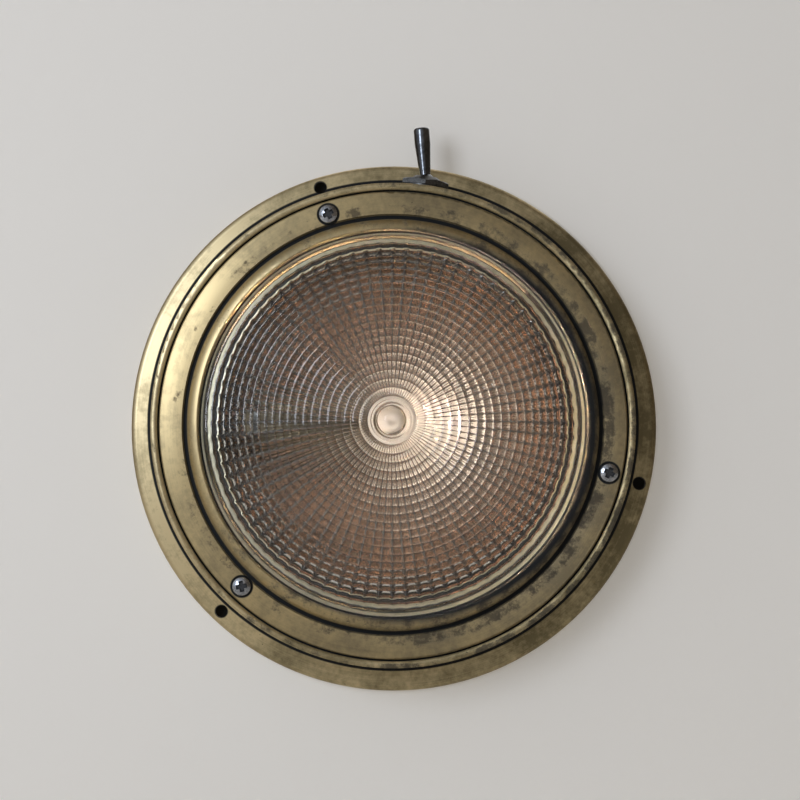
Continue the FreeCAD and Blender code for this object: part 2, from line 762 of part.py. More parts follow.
def block_screws():
    head_floor_h = block_top_h - BLOCK_FIX_HEAD_H + FACE_GAP
    return group(
        joined(
            rod(BLOCK_FIX_R, point(x, BLOCK_Z, 0), OUT, block_top_h),
            rod(BLOCK_FIX_HEAD_R, point(x, BLOCK_Z, head_floor_h), OUT, block_top_h - head_floor_h),
        )
        for x in block_fix_xs()
    )


def earth_stud():
    return rod(EARTH_R, point(EARTH_X, EARTH_Z, 0), OUT, EARTH_LENGTH)


def earth_tag_way():
    turn = math.radians(EARTH_TAG_TURN)
    return V(math.cos(turn), 0, math.sin(turn))


def earth_tag():
    """Ring tag with a crimped barrel, under the earth nut."""
    place = point(EARTH_X, EARTH_Z, PLATE_T)
    barrel_start = place + OUT * EARTH_BARREL_R + earth_tag_way() * EARTH_BARREL_START
    tongue = block(
        place + V(0, 0, -EARTH_BARREL_R),
        place + V(EARTH_BARREL_START + EARTH_BARREL_R, -EARTH_TAG_T, EARTH_BARREL_R),
    )
    tag = joined(
        rod(EARTH_TAG_R, place, OUT, EARTH_TAG_T),
        turned(tongue, place, INTO_WALL, -EARTH_TAG_TURN),
        rod(EARTH_BARREL_R, barrel_start, earth_tag_way(), EARTH_BARREL_END - EARTH_BARREL_START),
    )
    return tag.cut(rod(EARTH_R + SPIGOT_PLAY, place, OUT, EARTH_LENGTH))


def earth_nut():
    start = point(EARTH_X, EARTH_Z, PLATE_T + EARTH_TAG_T + FACE_GAP)
    nut = hexagon(EARTH_NUT_FLATS, start, OUT, EARTH_NUT_T, earth_tag_way().cross(OUT))
    return nut.cut(rod(EARTH_R + SPIGOT_PLAY, start, OUT, EARTH_NUT_T))


# ---- Reflector and lampholder ----

def reflector():
    """Shallow spun dish under the bulb."""
    rim_h = reflector_under_h + REFLECTOR_RISE
    dish = spin([
        (0, reflector_under_h),
        (reflector_floor_r, reflector_under_h),
        (reflector_r, rim_h),
        (reflector_r, rim_h + REFLECTOR_T),
        (reflector_r - REFLECTOR_T, rim_h + REFLECTOR_T),
        (reflector_floor_r, reflector_floor_h),
        (0, reflector_floor_h),
    ])
    cuts = [
        rod(REFLECTOR_SCREW_R + REFLECTOR_SCREW_PLAY, point(x, z, reflector_under_h), OUT, REFLECTOR_T)
        for x, z in post_places
    ]
    cuts.append(block(
        point(wire_drop_x + WIRE_NOTCH_L / 2, -WIRE_NOTCH_W / 2, reflector_under_h),
        point(wire_drop_x - WIRE_NOTCH_L, WIRE_NOTCH_W / 2, rim_h + REFLECTOR_RISE),
    ))
    return dish.cut(group(cuts))


def reflector_screws():
    """Pan-head screws: two through the lampholder's foot, two on the bare reflector."""
    screws = []
    for x, z in post_places:
        foot = BRACKET_T if x in bracket_posts_x else 0.0
        seat = reflector_floor_h + foot + FACE_GAP
        low_h = reflector_under_h - POST_THREAD_DEPTH + CUT_OVER
        screws.append(spin([
            (0, low_h),
            (REFLECTOR_SCREW_R, low_h),
            (REFLECTOR_SCREW_R, seat),
            (REFLECTOR_HEAD_R, seat),
        ] + crown(REFLECTOR_HEAD_R, seat + REFLECTOR_HEAD_H / 2, REFLECTOR_HEAD_H / 2), point(x, z, 0)))
    return group(screws)


def lampholder_bracket():
    """Bent steel strip: foot on the reflector, upright round the lampholder's nipple."""
    half = BRACKET_WIDTH / 2
    low_h = reflector_floor_h + FACE_GAP / 2
    foot = block(
        point(bracket_back_x, -half, low_h),
        point(bracket_foot_end_x, half, reflector_floor_h + BRACKET_T),
    )
    upright = block(
        point(bracket_back_x, -half, low_h),
        point(bracket_front_x, half, bulb_h + BRACKET_OVER_HOLE - half),
    )
    crown = rod(half, point(bracket_back_x, 0, bulb_h + BRACKET_OVER_HOLE - half), RIGHT, BRACKET_T)
    bracket = joined(foot, upright, crown)
    cuts = [rod(NIPPLE_R + NIPPLE_PLAY, point(bracket_back_x, 0, bulb_h), RIGHT, BRACKET_T)]
    for x in bracket_posts_x:
        cuts.append(rod(REFLECTOR_SCREW_R + REFLECTOR_SCREW_PLAY, point(x, 0, low_h), OUT, BRACKET_T))
    return bracket.cut(group(cuts))


def bayonet_slot(side):
    """J-shaped slot for one cap pin: in from the mouth, round, and back a little to the hook."""
    clear_r = CAP_PIN_R + SLOT_PLAY
    deep_x = cap_pin_x - PUSH_TRAVEL - clear_r
    reach = side * 2 * holder_r
    axis_point = point(0, 0, bulb_h)

    def slot_box(near_x, angle):
        box = block(point(deep_x, 0, bulb_h - clear_r), point(near_x, reach, bulb_h + clear_r))
        return turned(box, axis_point, RIGHT, angle)

    boxes = [slot_box(cap_pin_x + clear_r, 0), slot_box(holder_mouth_x + CUT_OVER, SLOT_TURN)]
    for step in range(SLOT_STEPS + 1):
        boxes.append(slot_box(deep_x + 2 * clear_r, SLOT_TURN * step / SLOT_STEPS))
    return joined(*boxes)


def lampholder_shell():
    """Brass barrel with two bayonet slots, a back wall and a threaded nipple."""
    back = insulator_back_x - FACE_GAP
    barrel = spin([
        (NIPPLE_BORE, holder_back_x - NIPPLE_LENGTH),
        (NIPPLE_R, holder_back_x - NIPPLE_LENGTH),
        (NIPPLE_R, holder_back_x),
        (holder_r, holder_back_x),
        (holder_r, holder_mouth_x),
        (holder_bore_r, holder_mouth_x),
        (holder_bore_r, back),
        (NIPPLE_BORE, back),
    ], point(0, 0, bulb_h), RIGHT, UP)
    return barrel.cut(bayonet_slot(1)).cut(bayonet_slot(-1))


def lampholder_nut():
    start = point(bracket_back_x - FACE_GAP, 0, bulb_h)
    nut = hexagon(HOLDER_NUT_FLATS, start, V(-1, 0, 0), HOLDER_NUT_T, UP)
    return nut.cut(rod(NIPPLE_R + FACE_GAP, start, V(-1, 0, 0), HOLDER_NUT_T))


def contact_axes(x):
    """The two contacts lie one above the other along the lamp's axis, square to the cap's pins."""
    return [point(x, 0, bulb_h + side * CONTACT_SPREAD) for side in (-1, 1)]


def lampholder_insulator():
    length = insulator_front_x - insulator_back_x
    body = rod(holder_bore_r - INSULATOR_PLAY, point(insulator_back_x, 0, bulb_h), RIGHT, length)
    bores = group(rod(ROD_R + ROD_PLAY, at, RIGHT, length) for at in contact_axes(insulator_back_x))
    return body.cut(bores)


def lampholder_plungers():
    """Spring contacts that press on the bulb's solder pads."""
    return group(
        spin([
            (0, rod_end_x),
            (ROD_R, rod_end_x),
            (ROD_R, rod_front_x - ROD_HEAD_T),
            (ROD_HEAD_R, rod_front_x - ROD_HEAD_T),
            (ROD_HEAD_R, rod_front_x),
            (0, rod_front_x),
        ], at, RIGHT, UP)
        for at in contact_axes(0)
    )


def lampholder_springs():
    mean_r = ROD_R + ROD_PLAY + COIL_WIRE
    length = rod_front_x - ROD_HEAD_T - insulator_front_x - 2 * COIL_AIR
    return group(
        coil(at, RIGHT, mean_r, COIL_WIRE, length, COIL_TURNS)
        for at in contact_axes(insulator_front_x + COIL_AIR)
    )


# ---- Bulb ----

def bulb_cap():
    """Bayonet cap with its two pins."""
    start = point(bulb_end_x, 0, bulb_h)
    sleeve = tube(CAP_R, CAP_R - CAP_WALL, start, RIGHT, CAP_LENGTH)
    inner_r = CAP_R - CAP_WALL
    pins = [
        rod(CAP_PIN_R, point(cap_pin_x, side * inner_r, bulb_h), UP * side, CAP_WALL + CAP_PIN_OUT)
        for side in (-1, 1)
    ]
    return joined(sleeve, *pins).cut(rod(CAP_R - CAP_WALL, start, RIGHT, CAP_LENGTH))


def bulb_base():
    """Black glass plug in the cap's end."""
    return rod(CAP_R - CAP_WALL - FACE_GAP, point(bulb_end_x, 0, bulb_h), RIGHT, BASE_T)


def bulb_contacts():
    return group(rod(SOLDER_R, at, RIGHT, SOLDER_T) for at in contact_axes(bulb_end_x - SOLDER_T))


def bulb_glass():
    """Thin envelope: neck in the cap, straight body and round end."""
    neck_r = CAP_R - CAP_WALL - NECK_PLAY
    ball_x = bulb_tip_x - BULB_R
    shoulder_x = cap_front_x + BULB_R
    middle_r = (neck_r + BULB_R) / 2
    middle_x = (cap_front_x + shoulder_x) / 2
    inner_ball = BULB_R - BULB_GLASS
    diagonal = math.sqrt(0.5)
    return spin([
        (neck_r - BULB_GLASS, neck_x),
        (neck_r, neck_x),
        (neck_r, cap_front_x),
        (middle_r, middle_x - BULB_GLASS),
        (BULB_R, shoulder_x),
        (BULB_R, ball_x),
        (BULB_R * diagonal, ball_x + BULB_R * diagonal, 0, bulb_tip_x),
        (0, bulb_tip_x - BULB_GLASS),
        (inner_ball * diagonal, ball_x + inner_ball * diagonal, inner_ball, ball_x),
        (inner_ball, shoulder_x),
        (middle_r - BULB_GLASS, middle_x),
        (neck_r - BULB_GLASS, cap_front_x + BULB_GLASS),
    ], point(0, 0, bulb_h), RIGHT, UP)


def bulb_stem():
    """Glass foot of the bulb, flared where it is sealed to the neck."""
    return spin([
        (0, neck_x),
        (CAP_R - CAP_WALL - NECK_PLAY - BULB_GLASS - FACE_GAP, neck_x),
        (STEM_R, neck_x + STEM_FLARE),
        (STEM_R, stem_end_x),
        (0, stem_end_x),
    ], point(0, 0, bulb_h), RIGHT, UP)


def bulb_leads():
    """The two wires that hold the filament's ends."""
    return group(
        wire_tube("bulb_lead", [
            point(stem_end_x + FACE_GAP, side * LEAD_AT, bulb_h),
            point(stem_end_x + LEAD_STRAIGHT, side * LEAD_AT, bulb_h),
            point(filament_x - FILAMENT_D / 2 - LEAD_D / 2, side * FILAMENT_HALF, bulb_h),
        ], LEAD_D)
        for side in (-1, 1)
    )


def bulb_filament():
    """Hanging arch of coiled tungsten between the leads, at its outer diameter."""
    return wire_tube("bulb_filament", [
        point(filament_x, -FILAMENT_HALF - LEAD_D / 2, bulb_h),
        point(filament_x, -FILAMENT_HALF / 2, bulb_h),
        point(filament_x + FILAMENT_DIP, 0, bulb_h),
        point(filament_x, FILAMENT_HALF / 2, bulb_h),
        point(filament_x, FILAMENT_HALF + LEAD_D / 2, bulb_h),
    ], FILAMENT_D)


# ---- Toggle switch, built with its axis straight up and then turned to its place ----

def at_switch(shape):
    return turned(shape, CENTRE, INTO_WALL, 90 - SWITCH_ANGLE)


def switch_point(across, radius, toward_viewer=0.0):
    return point(across, radius, switch_h + toward_viewer)


def switch_bushing():
    """Threaded bushing; the lever's ball turns in its bore."""
    wide_bore = TAIL_R + LEVER_BALL_R / 2
    wide_top = pivot_r - LEVER_BALL_R
    bushing = spin([
        (wide_bore, strap_top_r),
        (BUSHING_R, strap_top_r),
        (BUSHING_R, bushing_top_r - BUSHING_CHAMFER),
        (BUSHING_R - BUSHING_CHAMFER * 3 / 2, bushing_top_r),
        (BUSHING_BORE, bushing_top_r),
        (BUSHING_BORE, wide_top + BUSHING_CHAMFER),
        (wide_bore, wide_top),
    ], switch_point(0, 0), UP, RIGHT)
    pin_hole = rod(PIVOT_PIN_R, switch_point(0, pivot_r, -BUSHING_R), OUT, 2 * BUSHING_R)
    return at_switch(bushing.cut(pin_hole))


def switch_nut():
    start = switch_point(0, nut_r0)
    nut = hexagon(NUT_FLATS, start, UP, NUT_T, OUT)
    chamfer = spin([
        (NUT_FLATS / 2, nut_r0 + NUT_T),
        (NUT_FLATS, nut_r0 + NUT_T - NUT_FLATS / 2 * math.tan(math.radians(NUT_CHAMFER))),
        (NUT_FLATS, nut_r0 + NUT_T + CUT_OVER),
        (NUT_FLATS / 2, nut_r0 + NUT_T + CUT_OVER),
    ], switch_point(0, 0), UP, RIGHT)
    return at_switch(nut.cut(rod(BUSHING_R + FACE_GAP, start, UP, NUT_T)).cut(chamfer))


def switch_lock_washer():
    start = switch_point(0, washer_r0)
    return at_switch(tube(WASHER_R, BUSHING_R + BUSHING_HOLE_PLAY, start, UP, WASHER_T))


def switch_back_nut():
    start = switch_point(0, back_nut_top_r - BACK_NUT_T)
    nut = hexagon(BACK_NUT_FLATS, start, UP, BACK_NUT_T, RIGHT)
    return at_switch(nut.cut(rod(BUSHING_R + FACE_GAP, start, UP, BACK_NUT_T)))


def switch_strap():
    """Steel cover strap: top plate under the bushing and two arms down the body's ends."""
    half_l = SWITCH_BODY_L / 2 + FACE_GAP
    half_w = SWITCH_BODY_W / 2
    low_r = strap_top_r - STRAP_T
    top = block(
        switch_point(-half_l - STRAP_T, low_r, -half_w),
        switch_point(half_l + STRAP_T, strap_top_r, half_w),
    )
    arms = [
        block(
            switch_point(side * half_l, low_r - STRAP_ARM, -half_w),
            switch_point(side * (half_l + STRAP_T), strap_top_r, half_w),
        )
        for side in (-1, 1)
    ]
    hole = rod(TAIL_R + LEVER_BALL_R / 2, switch_point(0, low_r), UP, STRAP_T)
    return at_switch(joined(top, *arms).cut(hole))


def switch_body():
    """Moulded cup that holds the contacts."""
    half_l = SWITCH_BODY_L / 2
    half_w = SWITCH_BODY_W / 2
    cup = block(
        switch_point(-half_l, switch_body_low_r, -half_w),
        switch_point(half_l, switch_body_top_r, half_w),
    )
    hollow = block(
        switch_point(SWITCH_END_WALL - half_l, switch_floor_r, SWITCH_WALL - half_w),
        switch_point(half_l - SWITCH_END_WALL, switch_body_top_r, half_w - SWITCH_WALL),
    )
    tab_slots = [
        block(
            switch_point(x - TAB_WIDTH / 2 - SPIGOT_PLAY, switch_body_low_r, -TAB_T / 2 - SPIGOT_PLAY),
            switch_point(x + TAB_WIDTH / 2 + SPIGOT_PLAY, switch_floor_r, TAB_T / 2 + SPIGOT_PLAY),
        )
        for x in (0, contact_at)
    ]
    return at_switch(cup.cut(hollow).cut(group(tab_slots)))


def tab(across, top_r):
    half = TAB_WIDTH / 2
    return block(
        switch_point(across - half, tab_end_r, -TAB_T / 2),
        switch_point(across + half, top_r, TAB_T / 2),
    )


def switch_terminals():
    """Middle terminal with the rocker's cradle, and the contact terminal beside it."""
    half_w = ROCKER_WIDTH / 2
    cradle_half = 2 * ROCKER_PIN_R
    foot_r = switch_floor_r + FACE_GAP
    cradle_top_r = rocker_r - ROCKER_PIN_R / 4
    cradle = joined(
        block(switch_point(-cradle_half, foot_r, -half_w), switch_point(cradle_half, cradle_top_r, half_w)),
        tab(0, foot_r + TAB_T),
    )
    pin_at = switch_point(0, rocker_r, -half_w)
    cradle = cradle.cut(rod(ROCKER_PIN_R + PIVOT_PLAY, pin_at, OUT, ROCKER_WIDTH))
    seat_rise = contact_top()
    contact = joined(
        tab(contact_at, foot_r + TAB_T),
        rod(CONTACT_R, switch_point(contact_at, foot_r), UP, rocker_r + seat_rise - foot_r),
    )
    return at_switch(group([cradle, contact]))


def rocker_top():
    """Height of the rocker's trough over its pin, just under the plunger's round end."""
    tip_over_pin = ROCKER_FROM_PIVOT - PLUNGER_REACH
    slope = math.cos(math.radians(ROCKER_SLOPE))
    return tip_over_pin - (PLUNGER_R + ROCKER_UNDER_TIP) / slope


def contact_top():
    """Height over the rocker's pin of the contact, under the rocker's lowered end."""
    rise = math.tan(math.radians(ROCKER_SLOPE - ROCKER_TILT))
    under = rocker_top() - ROCKER_T / math.cos(math.radians(ROCKER_SLOPE))
    return under + (contact_at - CONTACT_R) * rise - CONTACT_GAP


def switch_rocker():
    """See-saw contact, a shallow trough on a pin, with its contact end down."""
    half_w = ROCKER_WIDTH / 2
    slope = math.tan(math.radians(ROCKER_SLOPE))
    drop = ROCKER_T / math.cos(math.radians(ROCKER_SLOPE))
    top_r = rocker_r + rocker_top()
    outline = [
        (-rocker_half, top_r + rocker_half * slope),
        (0, top_r),
        (rocker_half, top_r + rocker_half * slope),
        (rocker_half, top_r + rocker_half * slope - drop),
        (0, top_r - drop),
        (-rocker_half, top_r + rocker_half * slope - drop),
    ]
    corners = [switch_point(x, r, -half_w) for x, r in outline]
    trough = Part.Face(Part.makePolygon(corners + corners[:1])).extrude(OUT * ROCKER_WIDTH)
    rocker = joined(trough, rod(ROCKER_PIN_R, switch_point(0, rocker_r, -half_w), OUT, ROCKER_WIDTH))
    return at_switch(turned(rocker, switch_point(0, rocker_r), INTO_WALL, ROCKER_TILT))


def tilted(shape):
    """Puts a piece of the lever at its left stop."""
    return at_switch(turned(shape, switch_point(0, pivot_r), INTO_WALL, -LEVER_TILT))


def switch_lever():
    """Bat lever with its ball and a hollow tail."""
    ball_meet = math.sqrt(LEVER_BALL_R ** 2 - LEVER_BASE_R ** 2)
    tail_meet = math.sqrt(LEVER_BALL_R ** 2 - TAIL_R ** 2)
    tip_mid = LEVER_TIP_ROUND * ARC_MID
    lever = spin([
        (0, pivot_r - TAIL_LENGTH),
        (TAIL_R, pivot_r - TAIL_LENGTH),
        (TAIL_R, pivot_r - tail_meet),
        (LEVER_BALL_R, pivot_r, LEVER_BASE_R, pivot_r + ball_meet),
        (LEVER_TIP_R, pivot_r + LEVER_LENGTH - 2 * LEVER_TIP_R),
        (LEVER_TIP_R, pivot_r + LEVER_LENGTH - LEVER_TIP_ROUND),
        (LEVER_TIP_R - tip_mid, pivot_r + LEVER_LENGTH - tip_mid,
         LEVER_TIP_R - LEVER_TIP_ROUND, pivot_r + LEVER_LENGTH),
        (0, pivot_r + LEVER_LENGTH),
    ], switch_point(0, 0), UP, RIGHT)
    pin_hole = rod(PIVOT_PIN_R + PIVOT_PLAY, switch_point(0, pivot_r, -LEVER_BALL_R), OUT, 2 * LEVER_BALL_R)
    bore = rod(tail_bore_r, switch_point(0, pivot_r - TAIL_LENGTH), UP, TAIL_LENGTH - LEVER_BALL_R)
    return tilted(lever.cut(pin_hole).cut(bore))


def switch_pivot_pin():
    length = 2 * (BUSHING_R - BUSHING_CHAMFER / 2)
    return at_switch(rod(PIVOT_PIN_R - FACE_GAP / 2, switch_point(0, pivot_r, -length / 2), OUT, length))


def switch_plunger():
    """Round-ended pin that the lever pushes along the rocker."""
    tip_r = pivot_r - PLUNGER_REACH
    shoulder_r = pivot_r - TAIL_LENGTH - FACE_GAP
    return tilted(spin([
        (0, shoulder_r + PLUNGER_STEM),
        (PLUNGER_STEM_R, shoulder_r + PLUNGER_STEM),
        (PLUNGER_STEM_R, shoulder_r),
        (PLUNGER_R, shoulder_r),
        (PLUNGER_R, tip_r),
        (PLUNGER_R * math.sqrt(0.5), tip_r - PLUNGER_R * math.sqrt(0.5), 0, tip_r - PLUNGER_R),
    ], switch_point(0, 0), UP, RIGHT))


def switch_spring():
    """Small spring in the lever's tail, round the plunger's stem."""
    shoulder_r = pivot_r - TAIL_LENGTH
    length = TAIL_LENGTH - LEVER_BALL_R - 2 * COIL_AIR
    mean_r = PLUNGER_STEM_R + COIL_WIRE
    start = switch_point(0, shoulder_r + COIL_AIR)
    return tilted(coil(start, UP, mean_r, COIL_WIRE, length, COIL_TURNS))


# ---- Wires ----

def switch_place(across, radius, height):
    """A place given in the switch's own directions, turned to where it lies on the lamp."""
    turn = FreeCAD.Rotation(INTO_WALL, 90 - SWITCH_ANGLE)
    return turn.multVec(point(across, radius, height))


def block_entry(pole):
    """The last two places of a wire: in front of a pole, and inside it."""
    x = pole_xs[pole]
    z = BLOCK_Z + BLOCK_DEPTH / 2
    return [point(x, z + BLOCK_PITCH, block_wire_h), point(x, z - WIRE_IN_BLOCK, block_wire_h)]


def holder_exit(side):
    return [
        point(insulator_back_x - FACE_GAP, side * WIRE_SPREAD, bulb_h),
        point(wire_drop_x, side * WIRE_SPREAD, bulb_h),
        point(wire_drop_x, side * WIRE_SPREAD, WIRE_LOW_H),
    ]


def tab_exit(across):
    """A wire's end under a switch tab, and its bend down towards the back plate."""
    return [
        switch_place(across, tab_end_r - TAB_T / 2, switch_h),
        switch_place(across, TAB_BEND_R, WIRE_CROSS_H),
    ]


def wire_neutral():
    bends = [point(x, z, WIRE_LOW_H) for x, z in NEUTRAL_BENDS]
    return wire_tube("wire_neutral", holder_exit(-1) + bends + block_entry(0), WIRE_D)


def wire_switched():
    tab_bends = tab_exit(0)
    route = holder_exit(1) + [
        point(*SWITCHED_BEND_LEFT, WIRE_LOW_H),
        point(*SWITCHED_BEND_TOP, WIRE_CROSS_H),
        switch_place(*SWITCHED_NEAR_TAB, WIRE_LOW_H),
    ] + tab_bends[::-1]
    return wire_tube("wire_switched", route, WIRE_D)


def wire_feed():
    bends = [point(x, z, WIRE_LOW_H) for x, z in FEED_BENDS]
    return wire_tube("wire_feed", tab_exit(contact_at) + bends + block_entry(2), WIRE_D)


def wire_earth():
    tag_end = earth_tag_way() * (EARTH_BARREL_END + FACE_GAP)
    start = point(EARTH_X, EARTH_Z, PLATE_T + EARTH_BARREL_R) + tag_end
    bends = [start + earth_tag_way() * BLOCK_PITCH, point(*EARTH_BEND, block_wire_h)]
    return wire_tube("wire_earth", [start] + bends + block_entry(1), WIRE_D)


PIECES = [
    body_shell, seat_ring, bezel_ring, bezel_screws, screw_bosses, lens, lens_gasket,
    back_plate, back_plate_screws, cable_bush, reflector_posts,
    terminal_block, terminal_clamps, terminal_screws, block_screws, earth_stud, earth_tag, earth_nut,
    reflector, reflector_screws, lampholder_bracket, lampholder_shell, lampholder_nut,
    lampholder_insulator, lampholder_plungers, lampholder_springs,
    bulb_cap, bulb_base, bulb_contacts, bulb_glass, bulb_stem, bulb_leads, bulb_filament,
    switch_bushing, switch_nut, switch_lock_washer, switch_back_nut, switch_strap, switch_body,
    switch_terminals, switch_rocker, switch_lever, switch_pivot_pin, switch_plunger, switch_spring,
    wire_neutral, wire_switched, wire_feed, wire_earth,
]

os.makedirs("parts", exist_ok=True)
for piece in PIECES:
    shape = piece()
    shape.exportStep("parts/" + piece.__name__ + ".step")
    print(piece.__name__, len(shape.Solids), "solids, valid", shape.isValid(),
          "volume", round(shape.Volume, 1))
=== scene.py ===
import json
import math

import bmesh
import bpy
from mathutils import Matrix, Vector


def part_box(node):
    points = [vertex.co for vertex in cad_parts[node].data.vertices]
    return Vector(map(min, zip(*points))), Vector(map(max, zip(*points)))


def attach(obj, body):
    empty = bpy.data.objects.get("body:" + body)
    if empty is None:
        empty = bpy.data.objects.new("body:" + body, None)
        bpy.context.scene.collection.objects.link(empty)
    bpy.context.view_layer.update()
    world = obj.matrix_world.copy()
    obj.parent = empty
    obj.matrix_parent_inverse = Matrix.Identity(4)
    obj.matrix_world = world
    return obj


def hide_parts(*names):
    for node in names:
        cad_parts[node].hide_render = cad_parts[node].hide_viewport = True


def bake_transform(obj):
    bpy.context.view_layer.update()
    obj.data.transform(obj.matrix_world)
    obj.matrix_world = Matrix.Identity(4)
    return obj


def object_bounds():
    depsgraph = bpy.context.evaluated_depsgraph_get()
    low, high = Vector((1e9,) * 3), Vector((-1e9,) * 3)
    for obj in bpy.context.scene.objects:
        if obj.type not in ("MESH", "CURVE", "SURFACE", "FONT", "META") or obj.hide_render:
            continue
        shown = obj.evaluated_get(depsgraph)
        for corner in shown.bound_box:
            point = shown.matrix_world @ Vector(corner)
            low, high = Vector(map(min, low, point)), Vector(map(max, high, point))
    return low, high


# Round brass bulkhead lamp, lit, with a ribbed glass dome and a toggle switch on its side.
# X points right, Z up, and the lamp's axis comes out of the wall along -Y. A height is a distance from the wall.
# Lengths named in capitals are millimetres, and angles are degrees counted from +X towards +Z.

MM = 0.001

# Camera and stage
FOCAL = 111.7
SENSOR = 36.0
CAMERA_PLACE = Vector((9.5, -900.0, -37.7)) * MM
CAMERA_AIM = Vector((2.3, 0.0, 9.9)) * MM
FLOOR_DROP = 65.0
STAGE_HALF = 2500.0
WALL_GAP = 0.4
WALL_SHADE_R = 93.6
WALL_LIFT = 0.16
SKY_BRIGHT_WAY = Vector((-0.6, -0.75, 0.25))
SKY_BRIGHT_FROM = 0.3
SKY_BRIGHT = 0.68
SKY_DARK = 0.22
WINDOW_PLACE = (-500, -800, 230)
WINDOW_SIZE = (320, 430)
WINDOW_WATTS = 2.6
BACK_FILL_PLACE = (300, 900, 900)
BACK_FILL_SIZE = (1600, 1600)
BACK_FILL_WATTS = 6.0
STAGE_PALE = "#efece5"
STAGE_PAINTED_SHADE = "#0c0b0a"

# Lens: round ribs outside, radial flutes inside, a button in the middle and a flange under the bezel
DOME_RISE = 28.8
LENS_R = 68.1
DOME_EDGE_OVER_FLANGE = 1.5
LENS_FLANGE_T = 2.5
LENS_FILLET = 0.3
GLASS = 4.0
RIB_PITCH = 3.04
RIB_HEIGHT = 0.5
RIB_SQUARENESS = 3
RIB_START = 8.0
RIB_SHARES = (0.12, 0.3, 0.7, 0.88, 1.0)
EDGE_PLAIN = 0.8
KNOB_R = 4.9
KNOB_RISE = 2.83
KNOB_RING_RISE = 0.8
KNOB_DIMPLE_R = 1.5
KNOB_DIMPLE = 0.7
KNOB_RIPPLE = 0.12
KNOB_RIPPLES = 3
INNER_STEPS = 34
FLUTES = 80
FLUTE_SHARE = 0.02
FLUTE_SQUARENESS = 0.6
FLUTE_NOTCH = 0.4
FLUTE_START = 6.4
FLUTE_END = 63.0
FLUTE_FADE = 1.2
FLUTE_RUN_OUT = 2.0
LENS_SEGMENTS = 480

# Toggle switch
LEVER_TILT = 12.0
LEVER_LENGTH = 19.8
LEVER_BASE_R = 1.95
LEVER_TIP_R = 2.85
LEVER_BALL_R = 3.4
LEVER_TAIL_R = 2.3
LEVER_TAIL = 9.0
LEVER_TIP_ROUND = 1.0
LEVER_TAIL_ROUND = 0.3
LEVER_NECK_ROUND = 4.0
LEVER_SEGMENTS = 64
SWITCH_ANGLE = 82.4
SWITCH_H = 14.426
BUSHING_R = 5.95
BUSHING_LOW_R = 82.4
BUSHING_TOP_R = 90.0
BUSHING_CHAMFER = 1.2
BUSHING_CHAMFER_W = 1.8
BUSHING_BORE = 3.5
PIVOT_DEPTH = 2.0
THREAD_PITCH = 0.85
THREAD_DEPTH = 0.38
THREAD_STEPS = 8
BUSHING_SEGMENTS = 96

# Cross-recessed screws
BEZEL_SCREW_ANGLES = (107.1, -12.7, -133.0)
BEZEL_SCREW_TURNS = (118.0, 62.0, 10.0)
SCREW_CIRCLE_R = 78.0
SPOTFACE_H = 24.976
SCREW_R = 1.7
SCREW_LENGTH = 14.0
SCREW_HEAD_R = 3.25
SCREW_HEAD_H = 2.0
SCREW_DOME = 0.9
SCREW_SEGMENTS = 48
CROSS_SPAN = 4.3
CROSS_WIDTH = 1.75
CROSS_DEPTH = 1.3
CROSS_TAPER = 0.65
CUT_ABOVE = 0.05
MIDDLE_TOP_SHARE = 1.05
MIDDLE_FOOT_SHARE = 0.3
MIDDLE_DROP_SHARE = 1.1
SECOND_BAR_STRETCH = 0.97
MIDDLE_TURN = 0.1
PLATE_SCREW_HEAD_R = 3.0
PLATE_SCREW_LENGTH = 8.0
PLATE_CROSS_SHARE = 0.85
SMALL_SCREW_R = 1.2
SMALL_SCREW_LENGTH = 5.8
SMALL_HEAD_R = 2.6
SMALL_HEAD_SIDE = 0.8
SMALL_HEAD_DOME = 0.8
SMALL_CROSS = (2.8, 0.8, 0.9)
REFLECTOR_SEATS = ((-39.976, 13.73, 0.0, 20.0), (-26.976, 13.73, 0.0, 70.0),
                   (32.0, 12.23, -22.0, 35.0), (32.0, 12.23, 22.0, 5.0))

# Lamp inside
FILAMENT_X = 12.02
FILAMENT_HALF = 7.85
FILAMENT_STEPS = 40
FILAMENT_HOT_HALF = 5.5
FILAMENT_COOL_HALF = 8.0
BULB_H = 27.2
COIL_R = 0.19
COIL_WIRE_R = 0.055
COIL_TURNS = 52
COIL_STEPS = 12
FILAMENT_HUMP = 3.0
FILAMENT_HUMP_R = 2.7
GLOW = 40500.0
DIMPLE = 3.4
DIMPLE_DEPTH = 1.5
BULB_POOL_R = 14.0
BULB_POOL_EDGE_R = 42.0

# Fixing holes, patina and meshes
WALL_HOLE_R = 2.15
WALL_HOLE_CIRCLE_R = 90.9
WALL_HOLE_ANGLES = (107.0, 227.0, 347.0)
HOLE_DIRT_AND_SHADE = 0.1
SCREW_DIRT_AND_SHADE = 0.65
WELL_FADE = 0.35
DAMP = 0.23
PATINA_AND_SHADE_WAY = (0.92, 0.0, -0.2)
PATINA_AND_SHADE_REACH = 80.0
SPUN_RING_PITCH = 0.45
SPUN_STRETCH = 0.65
ARC_STEPS = 14
MERGE = 2e-7
SHARP = math.radians(32)

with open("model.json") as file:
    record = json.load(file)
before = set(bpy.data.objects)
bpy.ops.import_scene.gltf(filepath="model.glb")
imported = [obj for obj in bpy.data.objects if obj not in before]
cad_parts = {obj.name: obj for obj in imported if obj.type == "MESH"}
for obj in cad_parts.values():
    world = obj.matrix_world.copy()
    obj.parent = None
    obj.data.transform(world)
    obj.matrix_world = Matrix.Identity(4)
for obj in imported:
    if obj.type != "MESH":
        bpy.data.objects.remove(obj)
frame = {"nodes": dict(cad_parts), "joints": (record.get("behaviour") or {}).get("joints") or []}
cad_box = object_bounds()


# ---- Small helpers ----

